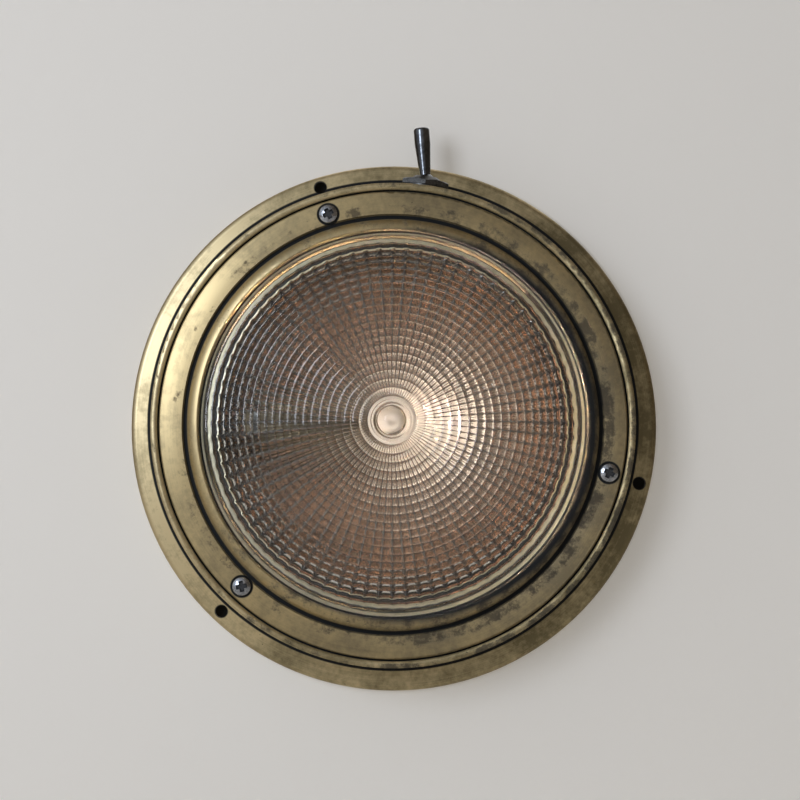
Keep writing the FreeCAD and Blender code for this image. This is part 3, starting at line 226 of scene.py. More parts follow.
def srgb(hex_colour):
    """Linear colour of an sRGB hex value."""
    channels = [int(hex_colour[i:i + 2], 16) / 255 for i in (1, 3, 5)]
    linear = [c / 12.92 if c <= 0.04045 else ((c + 0.055) / 1.055) ** 2.4 for c in channels]
    return (*linear, 1.0)


def add(tree, kind, inputs=None, **settings):
    """Adds a node with its settings, gives each named or numbered input a value, a link or a list of links, and
    returns the node's outputs."""
    made = tree.nodes.new(kind)
    for name, value in settings.items():
        setattr(made, name, value)
    for socket, value in (inputs or {}).items():
        if isinstance(value, (bpy.types.NodeSocket, list)):
            for source in value if isinstance(value, list) else [value]:
                tree.links.new(source, made.inputs[socket])
        else:
            made.inputs[socket].default_value = value
    return made.outputs


def link_object(name, data):
    made = bpy.data.objects.new(name, data)
    bpy.context.scene.collection.objects.link(made)
    return made


def aim(thing, place, target):
    """Puts a camera or a light at a place and points it at a target."""
    thing.location = place
    thing.rotation_mode = "QUATERNION"
    thing.rotation_quaternion = (target - place).to_track_quat("-Z", "Y")


def joint(name):
    """What the frame says of a joint."""
    return next(j for j in frame["joints"] if j["name"] == name)


def around(radius, angle):
    """Place (x, z) at a radius and an angle round the lamp's axis."""
    turn = math.radians(angle)
    return radius * math.cos(turn), radius * math.sin(turn)


def dress(piece, body, node):
    """Puts a piece on a body in place of a CAD node."""
    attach(piece, body)
    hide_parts(node)


# ---- Camera, stage and light ----

def make_camera():
    camera = link_object("camera", bpy.data.cameras.new("camera"))
    camera.data.lens = FOCAL
    camera.data.sensor_width = SENSOR
    aim(camera, CAMERA_PLACE, CAMERA_AIM)
    bpy.context.scene.camera = camera


def stage_sheet(name, corners, material):
    mesh = bpy.data.meshes.new(name)
    mesh.from_pydata([Vector(c) * MM for c in corners], [], [(0, 1, 2, 3)])
    sheet = link_object(name, mesh)
    mesh.materials.append(material)
    return sheet


def make_stage():
    """Pale floor under the lamp, and a pale wall behind it that is seen from the front only and glows a little.
    Where the flange covers the wall it is painted dark: painted shade that shows
    through the flange's fixing holes."""
    paper = new_material("stage_paper", {"Base Color": srgb(STAGE_PALE), "Roughness": 0.95})[0]
    floor_z = cad_box[0].z / MM - FLOOR_DROP
    half = STAGE_HALF
    stage_sheet("stage_floor", [(-half, -half, floor_z), (half, -half, floor_z),
                                (half, half, floor_z), (-half, half, floor_z)], paper)
    wall_paint = paper.copy()
    wall_paint.name = "stage_wall_paint"
    tree = wall_paint.node_tree
    surface = tree.nodes["Principled BSDF"].inputs
    spots = add(tree, "ShaderNodeTexCoord")["Object"]
    flat = add(tree, "ShaderNodeVectorMath", {0: spots, 1: (1, 0, 1)}, operation="MULTIPLY")[0]
    # Painted shade: a dark disc on the wall behind the flange, so that the fixing holes look dark.
    behind_flange_shade = ring_mask(tree, flat, (0.0, WALL_SHADE_R, 0.1))
    shade = add(tree, "ShaderNodeMix", {0: behind_flange_shade, 6: srgb(STAGE_PALE), 7: srgb(STAGE_PAINTED_SHADE)}, data_type="RGBA")[2]
    tree.links.new(shade, surface["Base Color"])
    tree.links.new(shade, surface["Emission Color"])
    surface["Emission Strength"].default_value = WALL_LIFT
    clear_where(tree, add(tree, "ShaderNodeNewGeometry")["Backfacing"])
    wall = stage_sheet("stage_wall", [(-half, WALL_GAP, floor_z), (half, WALL_GAP, floor_z),
                                      (half, WALL_GAP, half), (-half, WALL_GAP, half)], wall_paint)
    for rays in ("shadow", "diffuse", "glossy", "transmission"):
        setattr(wall, "visible_" + rays, False)


def soft_box(name, place, size, watts, colour):
    """A rectangular light that faces the origin, where the lamp's axis meets the wall."""
    light = bpy.data.lights.new(name, "AREA")
    light.shape = "RECTANGLE"
    light.size, light.size_y = size[0] * MM, size[1] * MM
    light.energy = watts
    light.color = srgb(colour)[:3]
    aim(link_object(name, light), Vector(place) * MM, Vector())


def make_light():
    world = bpy.data.worlds.new("studio")
    world.use_nodes = True
    tree = world.node_tree
    sky = tree.nodes["Background"]
    way = add(tree, "ShaderNodeTexCoord")["Generated"]
    facing = add(tree, "ShaderNodeVectorMath", {0: way, 1: SKY_BRIGHT_WAY.normalized()},
                 operation="DOT_PRODUCT")["Value"]
    share = add(tree, "ShaderNodeMapRange", {0: facing, 1: SKY_BRIGHT_FROM, 2: 1.0},
                interpolation_type="SMOOTHSTEP")[0]
    tone = add(tree, "ShaderNodeMix", {0: share, 6: srgb("#cdb9a4"), 7: srgb("#dfe4ec")}, data_type="RGBA")[2]
    level = add(tree, "ShaderNodeMapRange", {0: share, 3: SKY_DARK, 4: SKY_BRIGHT})[0]
    tree.links.new(tone, sky.inputs["Color"])
    tree.links.new(level, sky.inputs["Strength"])
    bpy.context.scene.world = world
    soft_box("window", WINDOW_PLACE, WINDOW_SIZE, WINDOW_WATTS, "#eaf1ff")
    soft_box("back_fill", BACK_FILL_PLACE, BACK_FILL_SIZE, BACK_FILL_WATTS, "#ffffff")


# ---- Geometry Nodes: lathe ----

def open_tree(name, inputs):
    """A Geometry Nodes tree with these inputs and a mesh for output, and what its inputs give."""
    tree = bpy.data.node_groups.new(name, "GeometryNodeTree")
    for label, kind in inputs.items():
        tree.interface.new_socket(label, in_out="INPUT", socket_type="NodeSocket" + kind)
    tree.interface.new_socket("Mesh", in_out="OUTPUT", socket_type="NodeSocketGeometry")
    return tree, add(tree, "NodeGroupInput")


def close_tree(tree, made, painted):
    """Makes instances real, paints what the painted inputs of Set Material say, and gives the mesh out."""
    real = add(tree, "GeometryNodeRealizeInstances", {"Geometry": made})[0]
    mesh = add(tree, "GeometryNodeSetMaterial", {"Geometry": real, **painted})[0]
    add(tree, "NodeGroupOutput", {"Mesh": mesh})
    return tree


def lathe_tree():
    """Spins an outline about Z. Its points hold (radius, 0, height), a flute weight and a thread weight. A flute
    is a hollow with a ridge along its middle, the notch, and a sharp edge between it and the next."""
    tree, given = open_tree("lathe", {
        "Outline": "Geometry", "Segments": "Int", "Flutes": "Int", "Flute Share": "Float",
        "Flute Squareness": "Float", "Flute Notch": "Float", "Thread Pitch": "Float", "Thread Depth": "Float",
        "Base": "Vector", "Along": "Vector", "Material": "Material",
    })
    count = add(tree, "GeometryNodeAttributeDomainSize", {"Geometry": given["Outline"]})["Point Count"]
    columns = add(tree, "ShaderNodeMath", {0: given["Segments"], 1: 1.0}, operation="ADD")[0]
    grid = add(tree, "GeometryNodeMeshGrid",
               {"Size X": 1.0, "Size Y": 1.0, "Vertices X": count, "Vertices Y": columns})["Mesh"]
    place = add(tree, "ShaderNodeSeparateXYZ", {0: add(tree, "GeometryNodeInputPosition")[0]})
    last = add(tree, "ShaderNodeMath", {0: count, 1: 1.0}, operation="SUBTRACT")[0]
    row_share, turn_share = (add(tree, "ShaderNodeMath", {0: place[axis], 1: 0.5}, operation="ADD")[0]
                             for axis in "XY")
    row_raw = add(tree, "ShaderNodeMath", {0: row_share, 1: last}, operation="MULTIPLY")[0]
    row = add(tree, "ShaderNodeMath", {0: row_raw}, operation="ROUND")[0]
    turn = add(tree, "ShaderNodeMath", {0: turn_share, 1: 2 * math.pi}, operation="MULTIPLY")[0]
    corner = add(tree, "GeometryNodeSampleIndex",
                 {"Geometry": given["Outline"], "Value": add(tree, "GeometryNodeInputPosition")[0],
                  "Index": row}, data_type="FLOAT_VECTOR", domain="POINT")[0]
    weights = {}
    for name in ("flute", "thread"):
        field = add(tree, "GeometryNodeInputNamedAttribute", {"Name": name}, data_type="FLOAT")[0]
        weights[name] = add(tree, "GeometryNodeSampleIndex",
                            {"Geometry": given["Outline"], "Value": field, "Index": row},
                            data_type="FLOAT", domain="POINT")[0]
    corner_parts = add(tree, "ShaderNodeSeparateXYZ", {0: corner})
    counted = add(tree, "ShaderNodeMath", {0: turn_share, 1: given["Flutes"]}, operation="MULTIPLY")[0]
    within = add(tree, "ShaderNodeMath", {0: counted}, operation="FRACT")[0]
    phase = add(tree, "ShaderNodeMath", {0: within, 1: math.pi}, operation="MULTIPLY")[0]
    wave = add(tree, "ShaderNodeMath", {0: phase}, operation="SINE")[0]
    hollow = add(tree, "ShaderNodeMath", {0: wave, 1: given["Flute Squareness"]}, operation="POWER")[0]
    halves = add(tree, "ShaderNodeMath", {0: phase, 1: 2.0}, operation="MULTIPLY")[0]
    for step in ("SINE", "ABSOLUTE"):
        halves = add(tree, "ShaderNodeMath", {0: halves}, operation=step)[0]
    ridge = add(tree, "ShaderNodeMath", {0: halves, 1: given["Flute Squareness"]}, operation="POWER")[0]
    whole = add(tree, "ShaderNodeMath", {0: 1.0, 1: given["Flute Notch"]}, operation="SUBTRACT")[0]
    notch = add(tree, "ShaderNodeMath", {0: ridge, 1: given["Flute Notch"], 2: whole}, operation="MULTIPLY_ADD")[0]
    bump = add(tree, "ShaderNodeMath", {0: hollow, 1: notch}, operation="MULTIPLY")[0]
    sink = corner_parts["X"]
    for share in (given["Flute Share"], weights["flute"], bump):
        sink = add(tree, "ShaderNodeMath", {0: sink, 1: share}, operation="MULTIPLY")[0]
    height = add(tree, "ShaderNodeMath", {0: corner_parts["Z"], 1: sink}, operation="SUBTRACT")[0]
    winding = add(tree, "ShaderNodeMath", {0: corner_parts["Z"], 1: given["Thread Pitch"]}, operation="DIVIDE")[0]
    lead = add(tree, "ShaderNodeMath", {0: winding, 1: turn_share}, operation="SUBTRACT")[0]
    saw = add(tree, "ShaderNodeMath", {0: lead}, operation="FRACT")[0]
    ramp = add(tree, "ShaderNodeMath", {0: saw, 1: 2.0, 2: -1.0}, operation="MULTIPLY_ADD")[0]
    cut = add(tree, "ShaderNodeMath", {0: ramp}, operation="ABSOLUTE")[0]
    for share in (given["Thread Depth"], weights["thread"]):
        cut = add(tree, "ShaderNodeMath", {0: cut, 1: share}, operation="MULTIPLY")[0]
    radius = add(tree, "ShaderNodeMath", {0: corner_parts["X"], 1: cut}, operation="SUBTRACT")[0]
    spot = {"Z": height}
    for axis, wave in (("X", "COSINE"), ("Y", "SINE")):
        share = add(tree, "ShaderNodeMath", {0: turn}, operation=wave)[0]
        spot[axis] = add(tree, "ShaderNodeMath", {0: radius, 1: share}, operation="MULTIPLY")[0]
    spot = add(tree, "ShaderNodeCombineXYZ", spot)[0]
    spun = add(tree, "GeometryNodeSetPosition", {"Geometry": grid, "Position": spot})[0]
    closed = add(tree, "GeometryNodeMergeByDistance", {"Geometry": spun, "Distance": MERGE})[0]
    smooth = add(tree, "GeometryNodeSetShadeSmooth", {"Geometry": closed})[0]
    way = add(tree, "FunctionNodeAlignRotationToVector", {"Vector": given["Along"]}, axis="Z")[0]
    placed = add(tree, "GeometryNodeTransform",
                 {"Geometry": smooth, "Translation": given["Base"], "Rotation": way})[0]
    return close_tree(tree, placed, {"Material": given["Material"]})


def run_tree(name, start, tree, values):
    """Runs a Geometry Nodes tree on a start mesh and returns its result as a plain closed mesh object."""
    holder = link_object(name + "_start", start)
    modifier = holder.modifiers.new("shape", "NODES")
    modifier.node_group = tree
    for item in tree.interface.items_tree:
        if item.in_out == "INPUT" and item.name in values:
            modifier[item.identifier] = values[item.name]
    bpy.context.view_layer.update()
    ready = holder.evaluated_get(bpy.context.evaluated_depsgraph_get())
    mesh = bpy.data.meshes.new_from_object(ready)
    mesh.name = name
    bpy.data.objects.remove(holder)
    work = bmesh.new()
    work.from_mesh(mesh)
    bmesh.ops.remove_doubles(work, verts=work.verts, dist=MERGE)
    bmesh.ops.dissolve_degenerate(work, edges=work.edges, dist=MERGE)
    bmesh.ops.recalc_face_normals(work, faces=work.faces)
    for edge in work.edges:
        edge.smooth = edge.calc_face_angle(0.0) < SHARP
    work.to_mesh(mesh)
    work.free()
    return link_object(name, mesh)


def outline_mesh(name, corners):
    """Points (radius, height, flute, thread) in millimetres as a mesh of loose points in order."""
    mesh = bpy.data.meshes.new(name + "_outline")
    mesh.from_pydata([(c[0] * MM, 0, c[1] * MM) for c in corners], [], [])
    for label, place in (("flute", 2), ("thread", 3)):
        weight = mesh.attributes.new(label, "FLOAT", "POINT")
        weight.data.foreach_set("value", [c[place] if len(c) > place else 0.0 for c in corners])
    return mesh


def lathe(name, corners, material, segments, base=(0, 0, 0), along=(0, -1, 0), **extra):
    """Turns an outline into a closed piece about an axis that starts at base."""
    values = {"Segments": segments, "Base": Vector(base), "Along": Vector(along), "Material": material}
    values.update(extra)
    return run_tree(name, outline_mesh(name, corners), LATHE, values)


def rounded(corners, steps=4):
    """Replaces each corner (radius, height, fillet) by an arc of that radius; two numbers stay a sharp corner."""
    result = []
    for index, corner in enumerate(corners):
        if len(corner) < 3:
            result.append(corner)
            continue
        here = Vector(corner[:2])
        back = (Vector(corners[index - 1][:2]) - here).normalized()
        ahead = (Vector(corners[(index + 1) % len(corners)][:2]) - here).normalized()
        half = back.angle(ahead) / 2
        reach = corner[2] / math.tan(half)
        centre = here + (back + ahead).normalized() * (corner[2] / math.sin(half))
        start = here + back * reach - centre
        end = here + ahead * reach - centre
        sweep = start.angle_signed(end)
        for step in range(steps + 1):
            spoke = start.copy()
            spoke.rotate(Matrix.Rotation(-sweep * step / steps, 2))
            result.append(tuple(centre + spoke))
    return result


# ---- Geometry Nodes: screws and coils ----

def screw_tree():
    """Sinks a tapered cross in a turned screw and sets a copy on each seat, turned about its own axis."""
    tree, given = open_tree("screw_set", {
        "Seats": "Geometry", "Turned Screw": "Object", "Along": "Vector", "Head Top": "Float",
        "Cross Span": "Float", "Cross Width": "Float", "Cross Depth": "Float", "Cross Taper": "Float",
        "Material": "Material", "Recess Material": "Material",
    })
    screw = add(tree, "GeometryNodeObjectInfo", {"Object": given["Turned Screw"]})["Geometry"]
    screw = add(tree, "GeometryNodeTransform", {"Geometry": screw, "Scale": (1 / MM, 1 / MM, 1 / MM)})[0]
    deep = add(tree, "ShaderNodeMath", {0: given["Cross Depth"], 1: 2.0}, operation="MULTIPLY")[0]
    size = add(tree, "ShaderNodeCombineXYZ", {"X": given["Cross Span"], "Y": given["Cross Width"], "Z": deep})[0]
    bar = add(tree, "GeometryNodeMeshCube", {"Size": size, "Vertices Z": 3})["Mesh"]
    place = add(tree, "GeometryNodeInputPosition")[0]
    low = add(tree, "ShaderNodeSeparateXYZ", {0: place})["Z"]
    below = add(tree, "ShaderNodeMath", {0: low, 1: -MERGE}, operation="LESS_THAN")[0]
    narrow = add(tree, "ShaderNodeCombineXYZ", {"X": given["Cross Taper"], "Y": given["Cross Taper"], "Z": 1.0})[0]
    drawn_in = add(tree, "ShaderNodeVectorMath", {0: place, 1: narrow}, operation="MULTIPLY")[0]
    tapered = add(tree, "GeometryNodeSetPosition", {"Geometry": bar, "Selection": below, "Position": drawn_in})[0]
    # Painted shade: the faces the cross cuts into the head are painted dark.
    shaded_bars = add(tree, "GeometryNodeSetMaterial", {"Geometry": tapered, "Material": given["Recess Material"]})[0]
    top = add(tree, "ShaderNodeCombineXYZ", {"Z": given["Head Top"]})[0]
    cone = {"Vertices": 24, "Depth": deep}
    for end, share in (("Radius Top", MIDDLE_TOP_SHARE), ("Radius Bottom", MIDDLE_FOOT_SHARE)):
        cone[end] = add(tree, "ShaderNodeMath", {0: given["Cross Width"], 1: share}, operation="MULTIPLY")[0]
    middle = add(tree, "GeometryNodeMeshCone", cone)["Mesh"]
    down = add(tree, "ShaderNodeMath", {0: given["Cross Depth"], 1: -MIDDLE_DROP_SHARE}, operation="MULTIPLY")[0]
    down = add(tree, "ShaderNodeCombineXYZ", {"Z": down})[0]
    middle = add(tree, "GeometryNodeTransform", {"Geometry": middle, "Translation": down})[0]
    middle = add(tree, "GeometryNodeSetMaterial", {"Geometry": middle, "Material": given["Recess Material"]})[0]
    # The bars differ a little in height, so that no two of their faces lie in one plane and upset the cut.
    cutters = [add(tree, "GeometryNodeTransform",
                   {"Geometry": cutter, "Translation": top, "Rotation": (0, 0, turn), "Scale": (1, 1, stretch)})[0]
               for cutter, turn, stretch in ((shaded_bars, 0.0, 1.0), (shaded_bars, math.pi / 2, SECOND_BAR_STRETCH),
                                             (middle, MIDDLE_TURN, 1.0))]
    screw = add(tree, "GeometryNodeMeshBoolean", {"Mesh 1": screw, "Mesh 2": cutters},
                operation="DIFFERENCE")["Mesh"]
    screw = add(tree, "GeometryNodeTransform", {"Geometry": screw, "Scale": (MM, MM, MM)})[0]
    turn = add(tree, "GeometryNodeInputNamedAttribute", {"Name": "turn"}, data_type="FLOAT")[0]
    spun = add(tree, "FunctionNodeEulerToRotation", {0: add(tree, "ShaderNodeCombineXYZ", {"Z": turn})[0]})[0]
    way = add(tree, "FunctionNodeAlignRotationToVector", {"Rotation": spun, "Vector": given["Along"]}, axis="Z")[0]
    placed = add(tree, "GeometryNodeInstanceOnPoints",
                 {"Points": given["Seats"], "Instance": screw, "Rotation": way})[0]
    recess = add(tree, "GeometryNodeMaterialSelection", {"Material": given["Recess Material"]})[0]
    outside = add(tree, "FunctionNodeBooleanMath", {0: recess}, operation="NOT")[0]
    return close_tree(tree, placed, {"Selection": outside, "Material": given["Material"]})


def coil_tree():
    """Winds a round wire in a coil about a path."""
    tree, given = open_tree("coil", {"Path": "Geometry", "Turns": "Int", "Coil Radius": "Float",
                                     "Wire Radius": "Float", "Material": "Material"})
    path = add(tree, "GeometryNodeMeshToCurve", {"Mesh": given["Path"]})[0]
    count = add(tree, "ShaderNodeMath", {0: given["Turns"], 1: COIL_STEPS}, operation="MULTIPLY")[0]
    fine = add(tree, "GeometryNodeResampleCurve", {"Curve": path, "Count": count})[0]
    along = add(tree, "GeometryNodeSplineParameter")["Factor"]
    full = add(tree, "ShaderNodeMath", {0: given["Turns"], 1: 2 * math.pi}, operation="MULTIPLY")[0]
    turn = add(tree, "ShaderNodeMath", {0: along, 1: full}, operation="MULTIPLY")[0]
    side = add(tree, "GeometryNodeInputNormal")[0]
    ahead = add(tree, "GeometryNodeInputTangent")[0]
    up = add(tree, "ShaderNodeVectorMath", {0: side, 1: ahead}, operation="CROSS_PRODUCT")[0]
    halves = {}
    for place, (way, wave) in enumerate(((side, "COSINE"), (up, "SINE"))):
        share = add(tree, "ShaderNodeMath", {0: turn}, operation=wave)[0]
        halves[place] = add(tree, "ShaderNodeVectorMath", {0: way, "Scale": share}, operation="SCALE")[0]
    spoke = add(tree, "ShaderNodeVectorMath", halves, operation="ADD")[0]
    offset = add(tree, "ShaderNodeVectorMath", {0: spoke, "Scale": given["Coil Radius"]}, operation="SCALE")[0]
    wound = add(tree, "GeometryNodeSetPosition", {"Geometry": fine, "Offset": offset})[0]
    ring = add(tree, "GeometryNodeCurvePrimitiveCircle", {"Resolution": 6, "Radius": given["Wire Radius"]})[0]
    wire = add(tree, "GeometryNodeCurveToMesh", {"Curve": wound, "Profile Curve": ring, "Fill Caps": True})[0]
    smooth = add(tree, "GeometryNodeSetShadeSmooth", {"Geometry": wire})[0]
    return close_tree(tree, smooth, {"Material": given["Material"]})


# ---- Materials ----

def new_material(name, fixed):
    """A material, its node tree and its shader's inputs, of which some are given fixed values."""
    material = bpy.data.materials.new(name)
    material.use_nodes = True
    tree = material.node_tree
    surface = tree.nodes["Principled BSDF"].inputs
    for socket, value in fixed.items():
        surface[socket].default_value = value
    return material, tree, surface


def clear_where(tree, share):
    """Makes a material fully clear where the share is one."""
    solid = tree.nodes["Principled BSDF"].outputs[0]
    clear = add(tree, "ShaderNodeBsdfTransparent")[0]
    mixed = add(tree, "ShaderNodeMixShader", {0: share, 1: solid, 2: clear})[0]
    tree.links.new(mixed, tree.nodes["Material Output"].inputs["Surface"])


def clear_glass(name, tint, ior, patch, detail, spread, relief=0.0):
    """Glass with patches of another roughness. The spread holds two values of the pattern, and the roughness at
    each. Shadow rays pass through, so that the filament lights what lies outside its glass."""
    material, tree, surface = new_material(name, {
        "Base Color": srgb(tint), "Transmission Weight": 1.0, "IOR": ior,
    })
    spots = add(tree, "ShaderNodeTexCoord")["Object"]
    waves = add(tree, "ShaderNodeTexNoise", {"Vector": spots, "Scale": 1 / (patch * MM), "Detail": detail})[0]
    rough = add(tree, "ShaderNodeMapRange", {0: waves, **dict(enumerate(spread, 1))})[0]
    tree.links.new(rough, surface["Roughness"])
    if relief:
        bump = add(tree, "ShaderNodeBump", {"Strength": relief, "Distance": 0.02 * MM, "Height": waves})[0]
        tree.links.new(bump, surface["Normal"])
    clear_where(tree, add(tree, "ShaderNodeLightPath")["Is Shadow Ray"])
    return material


def filament_glow():
    """Coiled tungsten at work: it glows yellow-white, with cooler ends."""
    material, tree, surface = new_material("glowing_tungsten", {
        "Base Color": srgb("#4a4038"), "Metallic": 1.0, "Roughness": 0.5, "Emission Color": srgb("#ffe0cb"),
    })
    spots = add(tree, "ShaderNodeTexCoord")["Object"]
    along = add(tree, "ShaderNodeSeparateXYZ", {0: spots})["Z"]
    out = add(tree, "ShaderNodeMath", {0: along}, operation="ABSOLUTE")[0]
    heat = add(tree, "ShaderNodeMapRange",
               {0: out, 1: FILAMENT_HOT_HALF * MM, 2: FILAMENT_COOL_HALF * MM, 3: 1.0, 4: 0.15})[0]
    glow = add(tree, "ShaderNodeMath", {0: heat, 1: GLOW}, operation="MULTIPLY")[0]
    tree.links.new(glow, surface["Emission Strength"])
    return material


def worn_metal(name, bright, dull, rough_low, rough_high, patch, grain):
    """A metal whose polish and tone wander in patches, with a finer grain that shows as roughness and relief."""
    material, tree, surface = new_material(name, {"Metallic": 1.0})
    spots = add(tree, "ShaderNodeTexCoord")["Object"]
    patches, fine = (add(tree, "ShaderNodeTexNoise",
                         {"Vector": spots, "Scale": 1 / (size * MM), "Detail": detail, "Roughness": 0.6})[0]
                     for size, detail in ((patch, 6.0), (grain, 3.0)))
    both = add(tree, "ShaderNodeMath", {0: patches, 1: fine}, operation="ADD")[0]
    wear = {0: both, 1: 0.8, 2: 1.25}
    share = add(tree, "ShaderNodeMapRange", wear)[0]
    tone = add(tree, "ShaderNodeMix", {0: share, 6: srgb(bright), 7: srgb(dull)}, data_type="RGBA")[2]
    tree.links.new(tone, surface["Base Color"])
    rough = add(tree, "ShaderNodeMapRange", {**wear, 3: rough_low, 4: rough_high})[0]
    tree.links.new(rough, surface["Roughness"])
    relief = add(tree, "ShaderNodeBump", {"Strength": 0.3, "Distance": 0.03 * MM, "Height": fine})[0]
    tree.links.new(relief, surface["Normal"])
    return material


def hammered_metal(name, bright, dull):
    """Reflector sheet beaten into shallow dimples, each of which throws its own glint. Its colour is paler round
    the bulb and darker towards the rim: a painted pool of the bulb's light."""
    material = worn_metal(name, bright, dull, 0.1, 0.22, 14, 0.9)
    tree = material.node_tree
    surface = tree.nodes["Principled BSDF"].inputs
    spots = add(tree, "ShaderNodeTexCoord")["Object"]
    dimples = add(tree, "ShaderNodeTexVoronoi", {"Vector": spots, "Scale": 1 / (DIMPLE * MM), "Smoothness": 0.5},
                  feature="SMOOTH_F1")["Distance"]
    relief = add(tree, "ShaderNodeBump", {"Strength": 1.0, "Distance": DIMPLE_DEPTH * MM, "Height": dimples})
    tree.links.new(relief[0], surface["Normal"])
    flat = add(tree, "ShaderNodeVectorMath", {0: spots, 1: (1, 0, 1)}, operation="MULTIPLY")[0]
    away = add(tree, "ShaderNodeVectorMath", {0: flat, 1: (FILAMENT_X * MM, 0, 0)}, operation="DISTANCE")["Value"]
    # Painted light: the sheet's colour turns pale round the bulb, as a pool of its light.
    bulb_light_pool = add(tree, "ShaderNodeMapRange",
                {0: away, 1: BULB_POOL_R * MM, 2: BULB_POOL_EDGE_R * MM, 3: 1.0, 4: 0.0})[0]
    tone = surface["Base Color"].links[0].from_socket
    tone = add(tree, "ShaderNodeMix", {0: bulb_light_pool, 6: tone, 7: srgb("#dccfc2")}, data_type="RGBA")[2]
    tree.links.new(tone, surface["Base Color"])
    return material


def moulded(name, colour, shade, roughness, coat, patch):
    """A moulded or fired non-metal: one colour that wanders a little, with a skin that wears unevenly."""
    material, tree, surface = new_material(name, {"Coat Weight": coat})
    spots = add(tree, "ShaderNodeTexCoord")["Object"]
    cloud = add(tree, "ShaderNodeTexNoise",
                {"Vector": spots, "Scale": 1 / (patch * MM), "Detail": 5.0, "Roughness": 0.6})[0]
    tone = add(tree, "ShaderNodeMix", {0: cloud, 6: srgb(colour), 7: srgb(shade)}, data_type="RGBA")[2]
    tree.links.new(tone, surface["Base Color"])
    rough = add(tree, "ShaderNodeMapRange", {0: cloud, 1: 0.3, 2: 0.7, 3: roughness * 0.8, 4: roughness * 1.25})[0]
    tree.links.new(rough, surface["Roughness"])
    relief = add(tree, "ShaderNodeBump", {"Strength": 0.25, "Distance": 0.04 * MM, "Height": cloud})[0]
    tree.links.new(relief, surface["Normal"])
    return material


def ring_mask(tree, flat, ring):
    """One inside a ring (radius, half width, soft edge, centre x, centre z), seen along the lamp's axis."""
    centre, half, soft = ring[:3]
    x, z = ring[3:] or (0.0, 0.0)
    radius = add(tree, "ShaderNodeVectorMath", {0: flat, 1: (x * MM, 0, z * MM)}, operation="DISTANCE")["Value"]
    off = add(tree, "ShaderNodeMath", {0: radius, 1: centre * MM}, operation="SUBTRACT")[0]
    away = add(tree, "ShaderNodeMath", {0: off}, operation="ABSOLUTE")[0]
    return add(tree, "ShaderNodeMapRange", {0: away, 1: half * MM, 2: (half + soft) * MM, 3: 1.0, 4: 0.0})[0]


def spot_mask(tree, flat, places, half, soft):
    """One within half of any of the places (x, z) seen along the lamp's axis, fading over soft."""
    nearest = None
    for x, z in places:
        away = add(tree, "ShaderNodeVectorMath", {0: flat, 1: (x * MM, 0, z * MM)}, operation="DISTANCE")["Value"]
        nearest = away if nearest is None else add(tree, "ShaderNodeMath", {0: nearest, 1: away},
                                                   operation="MINIMUM")[0]
    return add(tree, "ShaderNodeMapRange", {0: nearest, 1: half * MM, 2: (half + soft) * MM, 3: 1.0, 4: 0.0})[0]


def largest(tree, shares):
    """The largest of some shares."""
    top = shares[0]
    for share in shares[1:]:
        top = add(tree, "ShaderNodeMath", {0: top, 1: share}, operation="MAXIMUM")[0]
    return top


